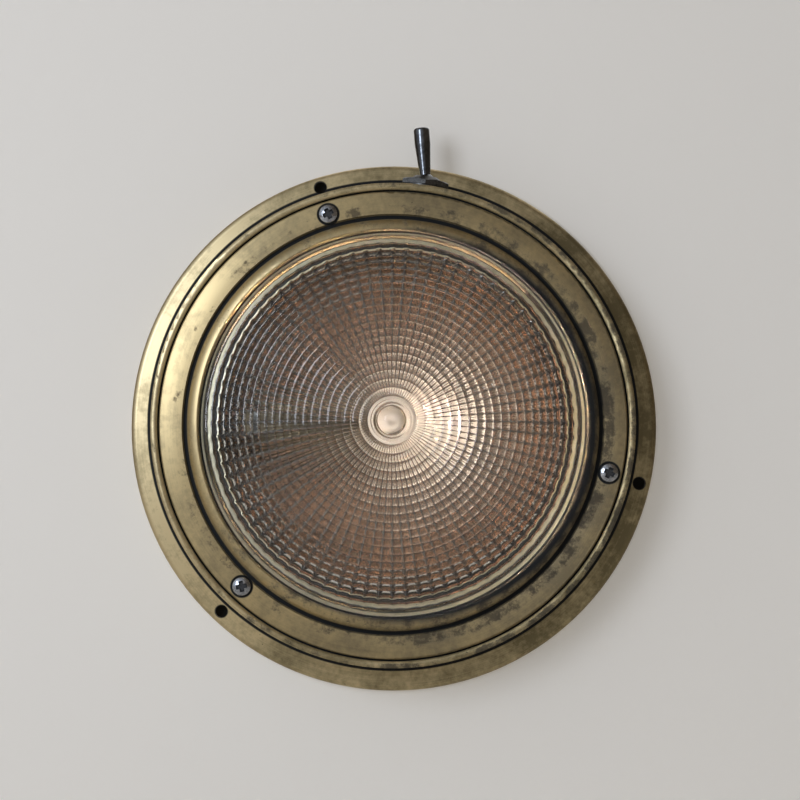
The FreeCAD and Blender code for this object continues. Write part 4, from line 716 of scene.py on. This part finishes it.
def aged_brass(name, bright, dull_tone, dirt_and_shade_rings, wells, well_r, stain_rings):
    """Spun brass rubbed to a satin: pale cream where it is worn, olive-brown patina in clouds that thickens to the
    right, where it is also painted shade on the side away from the window, fine rings from the spinning tool,
    near-black dirt with a green cast in the grooves, gaps and wells, which is also painted shade where parts meet
    and in the holes, dark pits, and brown stains along the rings where damp has stood, more of them to the right
    as painted shade. The tool's rings are drawn coarser than they are, so that they show."""
    material, tree, surface = new_material(name, {"Anisotropic": SPUN_STRETCH})
    spots = add(tree, "ShaderNodeTexCoord")["Object"]
    parts = add(tree, "ShaderNodeSeparateXYZ", {0: spots})
    flat = add(tree, "ShaderNodeCombineXYZ", {"X": parts["X"], "Z": parts["Z"]})[0]
    radius = add(tree, "ShaderNodeVectorMath", {0: flat}, operation="LENGTH")["Value"]
    angle = add(tree, "ShaderNodeMath", {0: parts["Z"], 1: parts["X"]}, operation="ARCTAN2")[0]

    lane = {axis: add(tree, "ShaderNodeMath", {0: across, 1: times}, operation="MULTIPLY")[0]
            for axis, across, times in (("X", radius, 1 / (SPUN_RING_PITCH * MM)), ("Y", angle, 2.5),
                                        ("Z", parts["Y"], 1 / (SPUN_RING_PITCH * MM)))}
    lane = add(tree, "ShaderNodeCombineXYZ", lane)[0]
    # Patterns: where they are read, the size of their largest marks, their detail and how rough that is.
    clouds, mottle, rings, stains, pock = (
        add(tree, "ShaderNodeTexNoise",
            {"Vector": where, "Scale": 1 / size, "Detail": detail, "Roughness": rough})[0]
        for where, size, detail, rough in ((spots, 24 * MM, 7.0, 0.62), (spots, 2.2 * MM, 5.0, 0.7),
                                           (lane, 1.0, 3.0, 0.6), (spots, 7 * MM, 9.0, 0.74),
                                           (spots, 1.3 * MM, 2.0, 0.5)))

    # Painted shade: the patina thickens towards the right, on the side away from the window light.
    patina_and_shade_lean = add(tree, "ShaderNodeVectorMath", {0: spots, 1: PATINA_AND_SHADE_WAY}, operation="DOT_PRODUCT")["Value"]
    reach = PATINA_AND_SHADE_REACH * MM
    # What the patina adds up: two values of each pattern, and the patina at each.
    patina = add(tree, "ShaderNodeMapRange", {0: clouds, 1: 0.38, 2: 0.66, 3: 0.0, 4: 0.7})[0]
    for part, low, high, least, most in ((mottle, 0.35, 0.7, -0.18, 0.25), (patina_and_shade_lean, -reach, reach, -0.3, 0.55),
                                         (rings, 0.3, 0.7, -0.1, 0.14)):
        share = add(tree, "ShaderNodeMapRange", {0: part, 1: low, 2: high, 3: least, 4: most})[0]
        patina = add(tree, "ShaderNodeMath", {0: patina, 1: share}, operation="ADD")[0]
    tone = add(tree, "ShaderNodeMix", {0: patina, 6: srgb(bright), 7: srgb(dull_tone)}, data_type="RGBA")[2]

    pits = add(tree, "ShaderNodeMapRange", {0: pock, 1: 0.745, 2: 0.79, 3: 0.0, 4: 0.8})[0]
    dark = pits
    if stain_rings:
        near = largest(tree, [ring_mask(tree, flat, ring) for ring in stain_rings])
        damp = add(tree, "ShaderNodeMath", {0: near, 1: DAMP}, operation="MULTIPLY")[0]
        # Painted shade: more stains to the right and fewer to the left, on the side away from the window.
        stain_and_shade_lean = add(tree, "ShaderNodeMapRange", {0: patina_and_shade_lean, 1: -reach, 2: reach, 3: -0.12, 4: 0.04})[0]
        wet = stains
        for share in (damp, stain_and_shade_lean):
            wet = add(tree, "ShaderNodeMath", {0: wet, 1: share}, operation="ADD")[0]
        stain = add(tree, "ShaderNodeMapRange", {0: wet, 1: 0.69, 2: 0.80, 3: 0.0, 4: 0.75})[0]
        dark = largest(tree, [stain, pits])
    tone = add(tree, "ShaderNodeMix", {0: dark, 6: tone, 7: srgb("#39342e")}, data_type="RGBA")[2]

    # Near-black in the rings and wells: dirt, and painted shade in the gaps between parts, round the screws and in
    # the holes.
    dirt_and_shade = largest(tree, [ring_mask(tree, flat, ring) for ring in dirt_and_shade_rings]
                    + [spot_mask(tree, flat, wells, well_r, WELL_FADE)])
    dirt_and_shade_tone = add(tree, "ShaderNodeMix", {0: clouds, 6: srgb("#0d0e0d"), 7: srgb("#22272a")},
                    data_type="RGBA")[2]
    tone = add(tree, "ShaderNodeMix", {0: dirt_and_shade, 6: tone, 7: dirt_and_shade_tone}, data_type="RGBA")[2]
    tree.links.new(tone, surface["Base Color"])

    dull = largest(tree, [dirt_and_shade, dark])
    shine = add(tree, "ShaderNodeMapRange", {0: dull, 1: 0.0, 2: 1.0, 3: 1.0, 4: 0.2})[0]
    tree.links.new(shine, surface["Metallic"])
    rough_base = add(tree, "ShaderNodeMapRange", {0: patina, 1: 0.0, 2: 1.0, 3: 0.38, 4: 0.5})[0]
    rough = add(tree, "ShaderNodeMath", {0: dull, 1: 0.35}, operation="MULTIPLY")[0]
    rough = add(tree, "ShaderNodeMath", {0: rough_base, 1: rough}, operation="ADD")[0]
    tree.links.new(rough, surface["Roughness"])
    tree.links.new(add(tree, "ShaderNodeVectorMath", {0: flat}, operation="NORMALIZE")[0], surface["Tangent"])
    ring_relief = add(tree, "ShaderNodeBump", {"Strength": 0.35, "Distance": 0.02 * MM, "Height": rings})[0]
    relief = add(tree, "ShaderNodeBump",
                 {"Strength": 0.3, "Distance": 0.03 * MM, "Height": mottle, "Normal": ring_relief})[0]
    tree.links.new(relief, surface["Normal"])
    return material


# ---- Pieces ----

def make_lens(material):
    """Dome with steep-sided ribs outside and flutes inside, a ringed and dimpled button, and a flange below."""
    lens_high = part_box("lens")[1]
    under_h = -lens_high.y / MM
    flange_r = lens_high.x / MM
    flange_top_h = under_h + LENS_FLANGE_T
    edge_h = flange_top_h + DOME_EDGE_OVER_FLANGE
    dome_r = (LENS_R ** 2 + DOME_RISE ** 2) / (2 * DOME_RISE)
    centre_h = edge_h + DOME_RISE - dome_r
    top_h = edge_h + DOME_RISE

    def on_dome(arc, lift=0.0):
        slope = arc / dome_r
        return (dome_r + lift) * math.sin(slope), centre_h + (dome_r + lift) * math.cos(slope)

    edge_arc = dome_r * math.asin(LENS_R / dome_r) - EDGE_PLAIN
    ribs = int((edge_arc - RIB_START) / RIB_PITCH)
    first = edge_arc - ribs * RIB_PITCH
    knob_ball = (KNOB_R ** 2 + KNOB_RISE ** 2) / (2 * KNOB_RISE)
    points = []
    for step in range(ARC_STEPS + 1):
        r = KNOB_R * step / ARC_STEPS
        dimple = KNOB_DIMPLE * math.exp(-(r / KNOB_DIMPLE_R) ** 2)
        points.append((r, top_h + KNOB_RISE - knob_ball + math.sqrt(knob_ball ** 2 - r ** 2) - dimple))
    foot = Vector(points[-1])
    shoulder = Vector(on_dome(first))
    for step in range(1, ARC_STEPS + 1):
        share = step / ARC_STEPS
        spot = foot.lerp(shoulder, share)
        ripple = KNOB_RIPPLE * math.sin(2 * KNOB_RIPPLES * math.pi * share)
        points.append((spot.x, spot.y + KNOB_RING_RISE * math.sin(math.pi * share) + ripple))
    for rib in range(ribs):
        low = first + rib * RIB_PITCH
        for share in RIB_SHARES:
            lift = RIB_HEIGHT * (1 - abs(2 * share - 1) ** RIB_SQUARENESS)
            points.append(on_dome(low + share * RIB_PITCH, lift))
    points += rounded([
        (LENS_R, edge_h),
        (LENS_R, flange_top_h, LENS_FILLET),
        (flange_r, flange_top_h, LENS_FILLET),
        (flange_r, under_h, LENS_FILLET),
        (LENS_R, under_h),
    ])[:-1]
    inner_r = dome_r - GLASS
    foot_slope = math.acos((under_h - centre_h) / inner_r)
    for step in range(INNER_STEPS + 1):
        slope = foot_slope * (1 - step / INNER_STEPS)
        r = inner_r * math.sin(slope)
        fade = min((r - FLUTE_START) / FLUTE_FADE, (FLUTE_END - r) / FLUTE_RUN_OUT)
        points.append((r, centre_h + inner_r * math.cos(slope), max(0.0, min(1.0, fade))))
    return lathe("ribbed_lens", points, material, LENS_SEGMENTS,
                 **{"Flutes": FLUTES, "Flute Share": FLUTE_SHARE, "Flute Squareness": FLUTE_SQUARENESS,
                    "Flute Notch": FLUTE_NOTCH})


def make_lever(material):
    """Bat lever: a tail, a ball in the bushing, and a shank that widens to a rounded tip."""
    pivot = Vector(joint("toggle")["pos_m"])
    out_angle = math.atan2(pivot.z, pivot.x) + math.radians(LEVER_TILT)
    along = (math.cos(out_angle), 0, math.sin(out_angle))
    ball_meet = math.sqrt(LEVER_BALL_R ** 2 - LEVER_BASE_R ** 2)
    points = rounded([
        (0, -LEVER_TAIL),
        (LEVER_TAIL_R, -LEVER_TAIL, LEVER_TAIL_ROUND),
        (LEVER_TAIL_R, -math.sqrt(LEVER_BALL_R ** 2 - LEVER_TAIL_R ** 2)),
    ])
    low = math.asin(-points[-1][1] / LEVER_BALL_R)
    high = math.asin(ball_meet / LEVER_BALL_R)
    for step in range(1, ARC_STEPS + 1):
        rise = -low + (high + low) * step / ARC_STEPS
        points.append((LEVER_BALL_R * math.cos(rise), LEVER_BALL_R * math.sin(rise)))
    points += rounded([
        (LEVER_BASE_R, ball_meet),
        (LEVER_TIP_R, LEVER_LENGTH - 2 * LEVER_TIP_R, LEVER_NECK_ROUND),
        (LEVER_TIP_R, LEVER_LENGTH, LEVER_TIP_ROUND),
        (0, LEVER_LENGTH),
    ], 6)[1:]
    return lathe("bat_lever", points, material, LEVER_SEGMENTS, base=pivot, along=along)


def make_bushing(material):
    """Bushing with a cut thread, a chamfered mouth and the lever's bore."""
    turn = math.radians(SWITCH_ANGLE)
    wide_bore = LEVER_TAIL_R + LEVER_BALL_R / 2
    wide_top = BUSHING_TOP_R - PIVOT_DEPTH - LEVER_BALL_R
    points = [(wide_bore, BUSHING_LOW_R), (BUSHING_R - THREAD_DEPTH, BUSHING_LOW_R)]
    thread_end = BUSHING_TOP_R - BUSHING_CHAMFER
    rows = round((thread_end - BUSHING_LOW_R - THREAD_DEPTH) / THREAD_PITCH * THREAD_STEPS)
    for row in range(rows + 1):
        height = BUSHING_LOW_R + THREAD_DEPTH + (thread_end - BUSHING_LOW_R - THREAD_DEPTH) * row / rows
        points.append((BUSHING_R, height, 0.0, 1.0))
    points += [
        (BUSHING_R - BUSHING_CHAMFER_W, BUSHING_TOP_R),
        (BUSHING_BORE, BUSHING_TOP_R),
        (BUSHING_BORE, wide_top + BUSHING_CHAMFER),
        (wide_bore, wide_top),
        (wide_bore, BUSHING_LOW_R),
    ]
    return lathe("threaded_bushing", points, material, BUSHING_SEGMENTS, base=(0, -SWITCH_H * MM, 0),
                 along=(math.cos(turn), 0, math.sin(turn)),
                 **{"Thread Pitch": THREAD_PITCH * MM, "Thread Depth": THREAD_DEPTH * MM})


def screw_seats(height, turns):
    """Seats (x, height, z, turn) where the bezel's screws stand, and those of the back plate behind them."""
    spots = [around(SCREW_CIRCLE_R, angle) for angle in BEZEL_SCREW_ANGLES]
    return [(x, height, z, turn) for (x, z), turn in zip(spots, turns)]


def make_screws(name, profile, seats, along, head_top, cross):
    """A set of screws from one turned profile. Each seat is (x, height, z, turn)."""
    turned = lathe(name + "_turned", profile, SCREW_NICKEL, SCREW_SEGMENTS, along=(0, 0, 1))
    mesh = bpy.data.meshes.new(name + "_seats")
    mesh.from_pydata([(x * MM, -height * MM, z * MM) for x, height, z, _ in seats], [], [])
    turn = mesh.attributes.new("turn", "FLOAT", "POINT")
    turn.data.foreach_set("value", [math.radians(seat[3]) for seat in seats])
    span, width, depth = cross
    made = run_tree(name, mesh, SCREW_SET, {
        "Turned Screw": turned, "Along": Vector(along), "Head Top": head_top, "Cross Span": span,
        "Cross Width": width, "Cross Depth": depth, "Cross Taper": CROSS_TAPER,
        "Material": SCREW_NICKEL, "Recess Material": RECESS_PAINTED_SHADE,
    })
    bpy.data.objects.remove(turned)
    return made


def pan_head(shank_r, length, head_r, side_h, dome):
    """Profile of a pan-head screw whose seat is at height 0."""
    ball = (head_r ** 2 + dome ** 2) / (2 * dome)
    edge = head_r - dome / 3
    points = rounded([
        (0, -length),
        (shank_r, -length, shank_r / 4),
        (shank_r, 0),
        (head_r, 0, side_h / 6),
        (head_r, side_h, dome / 3),
        (edge, side_h + dome - ball + math.sqrt(ball ** 2 - edge ** 2)),
    ])
    for step in range(1, ARC_STEPS + 1):
        r = edge * (1 - step / ARC_STEPS)
        points.append((r, side_h + dome - ball + math.sqrt(ball ** 2 - r ** 2)))
    return points


def make_filament(material):
    """Coiled tungsten between the leads, with a soft hump in the middle."""
    mesh = bpy.data.meshes.new("filament_path")
    spots = []
    for step in range(FILAMENT_STEPS + 1):
        z = FILAMENT_HALF * (2 * step / FILAMENT_STEPS - 1)
        x = FILAMENT_X + FILAMENT_HUMP * math.exp(-(z / FILAMENT_HUMP_R) ** 2)
        spots.append((x * MM, -BULB_H * MM, z * MM))
    mesh.from_pydata(spots, [(i, i + 1) for i in range(len(spots) - 1)], [])
    return run_tree("coiled_filament", mesh, COIL, {
        "Turns": COIL_TURNS, "Coil Radius": COIL_R * MM, "Wire Radius": COIL_WIRE_R * MM, "Material": material,
    })


def make_contact_springs():
    """The lampholder's springs as one merged mesh, between the lamp and the sprung contacts."""
    mesh = frame["nodes"]["lampholder_springs"].data.copy()
    mesh.name = "contact_springs"
    work = bmesh.new()
    work.from_mesh(mesh)
    bmesh.ops.remove_doubles(work, verts=work.verts, dist=MERGE)
    work.to_mesh(mesh)
    work.free()
    springs = link_object("contact_springs", mesh)
    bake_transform(springs)
    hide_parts("lampholder_springs")


# ---- Scene ----

bpy.context.scene.view_settings.view_transform = "Standard"
LATHE = lathe_tree()
SCREW_SET = screw_tree()
COIL = coil_tree()
make_camera()
make_stage()
make_light()

# The dark rings and wells below are dirt and painted shade: at the bead's foot, drawn off-centre so that it shows
# as an even thin line, in the gaps beside the bead, at the edges of the lens and its seat, round the screw heads
# and in the wall holes. The bead's stain ring, with the stains' lean to the right, also paints shade over its
# highlight there.
SHELL_BRASS = aged_brass(
    "spun_brass_shell", "#e2d0a4", "#8a7f60", [(88.2, 0.4, 0.3, -0.23, 0.9), (83.2, 0.1, 0.2)],
    [around(WALL_HOLE_CIRCLE_R, angle) for angle in WALL_HOLE_ANGLES], WALL_HOLE_R + HOLE_DIRT_AND_SHADE,
    [(85.7, 1.4, 0.8)])
BEZEL_BRASS = aged_brass(
    "turned_brass_bezel", "#cdb98b", "#968a6e",
    [(73.5, 0.55, 0.6), (82.9, 0.05, 0.2), (67.4, 0.5, 2.2, 2.9, -0.5)],
    [around(SCREW_CIRCLE_R, angle) for angle in BEZEL_SCREW_ANGLES], SCREW_HEAD_R + SCREW_DIRT_AND_SHADE,
    [(75.6, 2.0, 2.2), (70.3, 2.2, 1.2)])
SEAT_BRASS = aged_brass("soldered_brass_seat", "#f2ead2", "#c2b896", [(83.2, 1.0, 0.2), (62.0, 0.9, 0.5)],
                        [(0.0, 0.0)], 1.0, [])
# Plating: nickel has a soft grey sheen, chrome is a darker mirror, and both cloud with use.
NICKEL = worn_metal("nickel_plated_steel", "#b9bcc0", "#6f7174", 0.25, 0.45, 8, 0.8)
DULL_NICKEL = worn_metal("dulled_nickel_plate", "#6f7070", "#403f3d", 0.34, 0.5, 5, 0.6)
SCREW_NICKEL = worn_metal("nickel_plated_screw", "#c9cdd2", "#7b7e83", 0.12, 0.26, 3, 0.5)
LEAD_WIRE = worn_metal("nickel_lead_wire", "#a79f93", "#6f675d", 0.3, 0.5, 2, 0.5)
CHROME = worn_metal("chrome_plated_brass", "#787c81", "#4c4f53", 0.08, 0.18, 10, 1.2)
# Turned brass: warm and satin, and brown where the heat of the bulb has tarnished it.
TURNED = worn_metal("turned_brass", "#d3b56c", "#96804c", 0.3, 0.45, 6, 0.7)
TARNISHED = worn_metal("tarnished_turned_brass", "#7d6f57", "#4d4233", 0.4, 0.55, 6, 0.7)
# Soft metals: the reflector's sheet is a warm broken mirror, and solder is pale and frosted.
REFLECTOR_SHEET = hammered_metal("hammered_reflector", "#bb8968", "#64503f")
SOLDER = worn_metal("soft_solder", "#b8b9b6", "#7d7e7c", 0.4, 0.6, 2, 0.5)
# Non-metals: the painted shade in the screw recesses and rubber are matt, insulation is waxy, japan and phenolic
# have a worn gloss, and glazed porcelain and the black glass of the bulb's cap shine.
# Painted shade: the screws' cross recesses are painted dark grey.
RECESS_PAINTED_SHADE = moulded("painted_shade_in_recess", "#3a3e43", "#1f2124", 0.35, 0.4, 1)
RUBBER = moulded("black_rubber", "#1c1b1b", "#2a2928", 0.7, 0.0, 4)
BLACK_PVC = moulded("black_wire_insulation", "#1d1d1f", "#29292b", 0.45, 0.0, 6)
BROWN_PVC = moulded("brown_wire_insulation", "#5a3420", "#492a1a", 0.45, 0.0, 6)
GREEN_PVC = moulded("green_yellow_wire_insulation", "#4f8a34", "#b9b23a", 0.45, 0.0, 6)
JAPAN = moulded("black_japanned_steel", "#2b2a28", "#1b1a19", 0.42, 0.2, 7)
PHENOLIC = moulded("moulded_phenolic", "#33221a", "#1e1410", 0.32, 0.1, 5)
PORCELAIN = moulded("glazed_porcelain", "#e9e4d6", "#dcd5c3", 0.16, 0.6, 9)
BLACK_GLASS = moulded("black_cap_glass", "#0b0b0d", "#131316", 0.12, 0.3, 5)
# Pressed glass of the lens: clear with a faint green-grey body and slightly fire-softened faces.
LENS_GLASS = clear_glass("pressed_soda_lime_glass", "#f4f6f1", 1.52, 6, 3.0, (0.35, 0.7, 0.02, 0.07), relief=0.15)
# Thin blown glass with a light haze inside, left by years of use.
BULB_GLASS = clear_glass("blown_bulb_glass", "#fbfbf8", 1.5, 9, 2.0, (0.3, 0.7, 0.2, 0.4))
FILAMENT = filament_glow()

FINISHES = {
    SHELL_BRASS: ["body_shell"],
    BEZEL_BRASS: ["bezel_ring"],
    SEAT_BRASS: ["seat_ring"],
    TURNED: ["screw_bosses", "reflector_posts", "terminal_clamps", "terminal_screws", "earth_stud",
             "earth_tag", "earth_nut", "switch_terminals", "switch_rocker"],
    TARNISHED: ["lampholder_shell", "lampholder_nut", "lampholder_plungers", "bulb_cap"],
    DULL_NICKEL: ["switch_nut", "switch_lock_washer", "switch_bushing", "lampholder_bracket"],
    NICKEL: ["bezel_screws", "switch_back_nut", "switch_strap", "switch_pivot_pin", "switch_plunger",
             "switch_spring", "lampholder_springs", "back_plate_screws", "reflector_screws", "block_screws"],
    REFLECTOR_SHEET: ["reflector"],
    SOLDER: ["bulb_contacts"],
    LEAD_WIRE: ["bulb_leads"],
    JAPAN: ["back_plate"],
    RUBBER: ["lens_gasket", "cable_bush"],
    PORCELAIN: ["terminal_block"],
    PHENOLIC: ["lampholder_insulator", "switch_body"],
    BLACK_GLASS: ["bulb_base"],
    BLACK_PVC: ["wire_neutral"],
    BROWN_PVC: ["wire_feed", "wire_switched"],
    GREEN_PVC: ["wire_earth"],
    BULB_GLASS: ["bulb_glass", "bulb_stem"],
    FILAMENT: ["bulb_filament"],
    LENS_GLASS: ["lens"],
    CHROME: ["switch_lever"],
}
for finish, names in FINISHES.items():
    for name in names:
        mesh = frame["nodes"][name].data
        for index in range(len(mesh.materials)):
            mesh.materials[index] = finish

dress(make_lens(LENS_GLASS), "lamp_body", "lens")
make_contact_springs()
dress(make_lever(CHROME), "switch_lever_arm", "switch_lever")
dress(make_bushing(DULL_NICKEL), "lamp_body", "switch_bushing")
# Soft surfaces take no light from the coil: through the ribbed glass it would only make blotches on them.
coil = make_filament(FILAMENT)
coil.visible_diffuse = False
dress(coil, "bulb", "bulb_filament")

dress(make_screws("cross_recessed_bezel_screws",
                  pan_head(SCREW_R, SCREW_LENGTH, SCREW_HEAD_R, SCREW_HEAD_H - SCREW_DOME, SCREW_DOME),
                  screw_seats(SPOTFACE_H, BEZEL_SCREW_TURNS), (0, -1, 0), SCREW_HEAD_H,
                  (CROSS_SPAN, CROSS_WIDTH, CROSS_DEPTH)),
      "lamp_body", "bezel_screws")
flat_head = rounded([
    (0, -PLATE_SCREW_LENGTH),
    (SCREW_R, -PLATE_SCREW_LENGTH, SCREW_R / 4),
    (SCREW_R, SCREW_R - PLATE_SCREW_HEAD_R),
    (PLATE_SCREW_HEAD_R, 0),
    (0, 0),
])
dress(make_screws("countersunk_plate_screws", flat_head, screw_seats(0.0, BEZEL_SCREW_ANGLES), (0, 1, 0),
                  CUT_ABOVE, (CROSS_SPAN * PLATE_CROSS_SHARE, CROSS_WIDTH, CROSS_DEPTH)),
      "lamp_body", "back_plate_screws")
dress(make_screws("reflector_pan_screws",
                  pan_head(SMALL_SCREW_R, SMALL_SCREW_LENGTH, SMALL_HEAD_R, SMALL_HEAD_SIDE, SMALL_HEAD_DOME),
                  REFLECTOR_SEATS, (0, -1, 0), SMALL_HEAD_SIDE + SMALL_HEAD_DOME, SMALL_CROSS),
      "lamp_body", "reflector_screws")
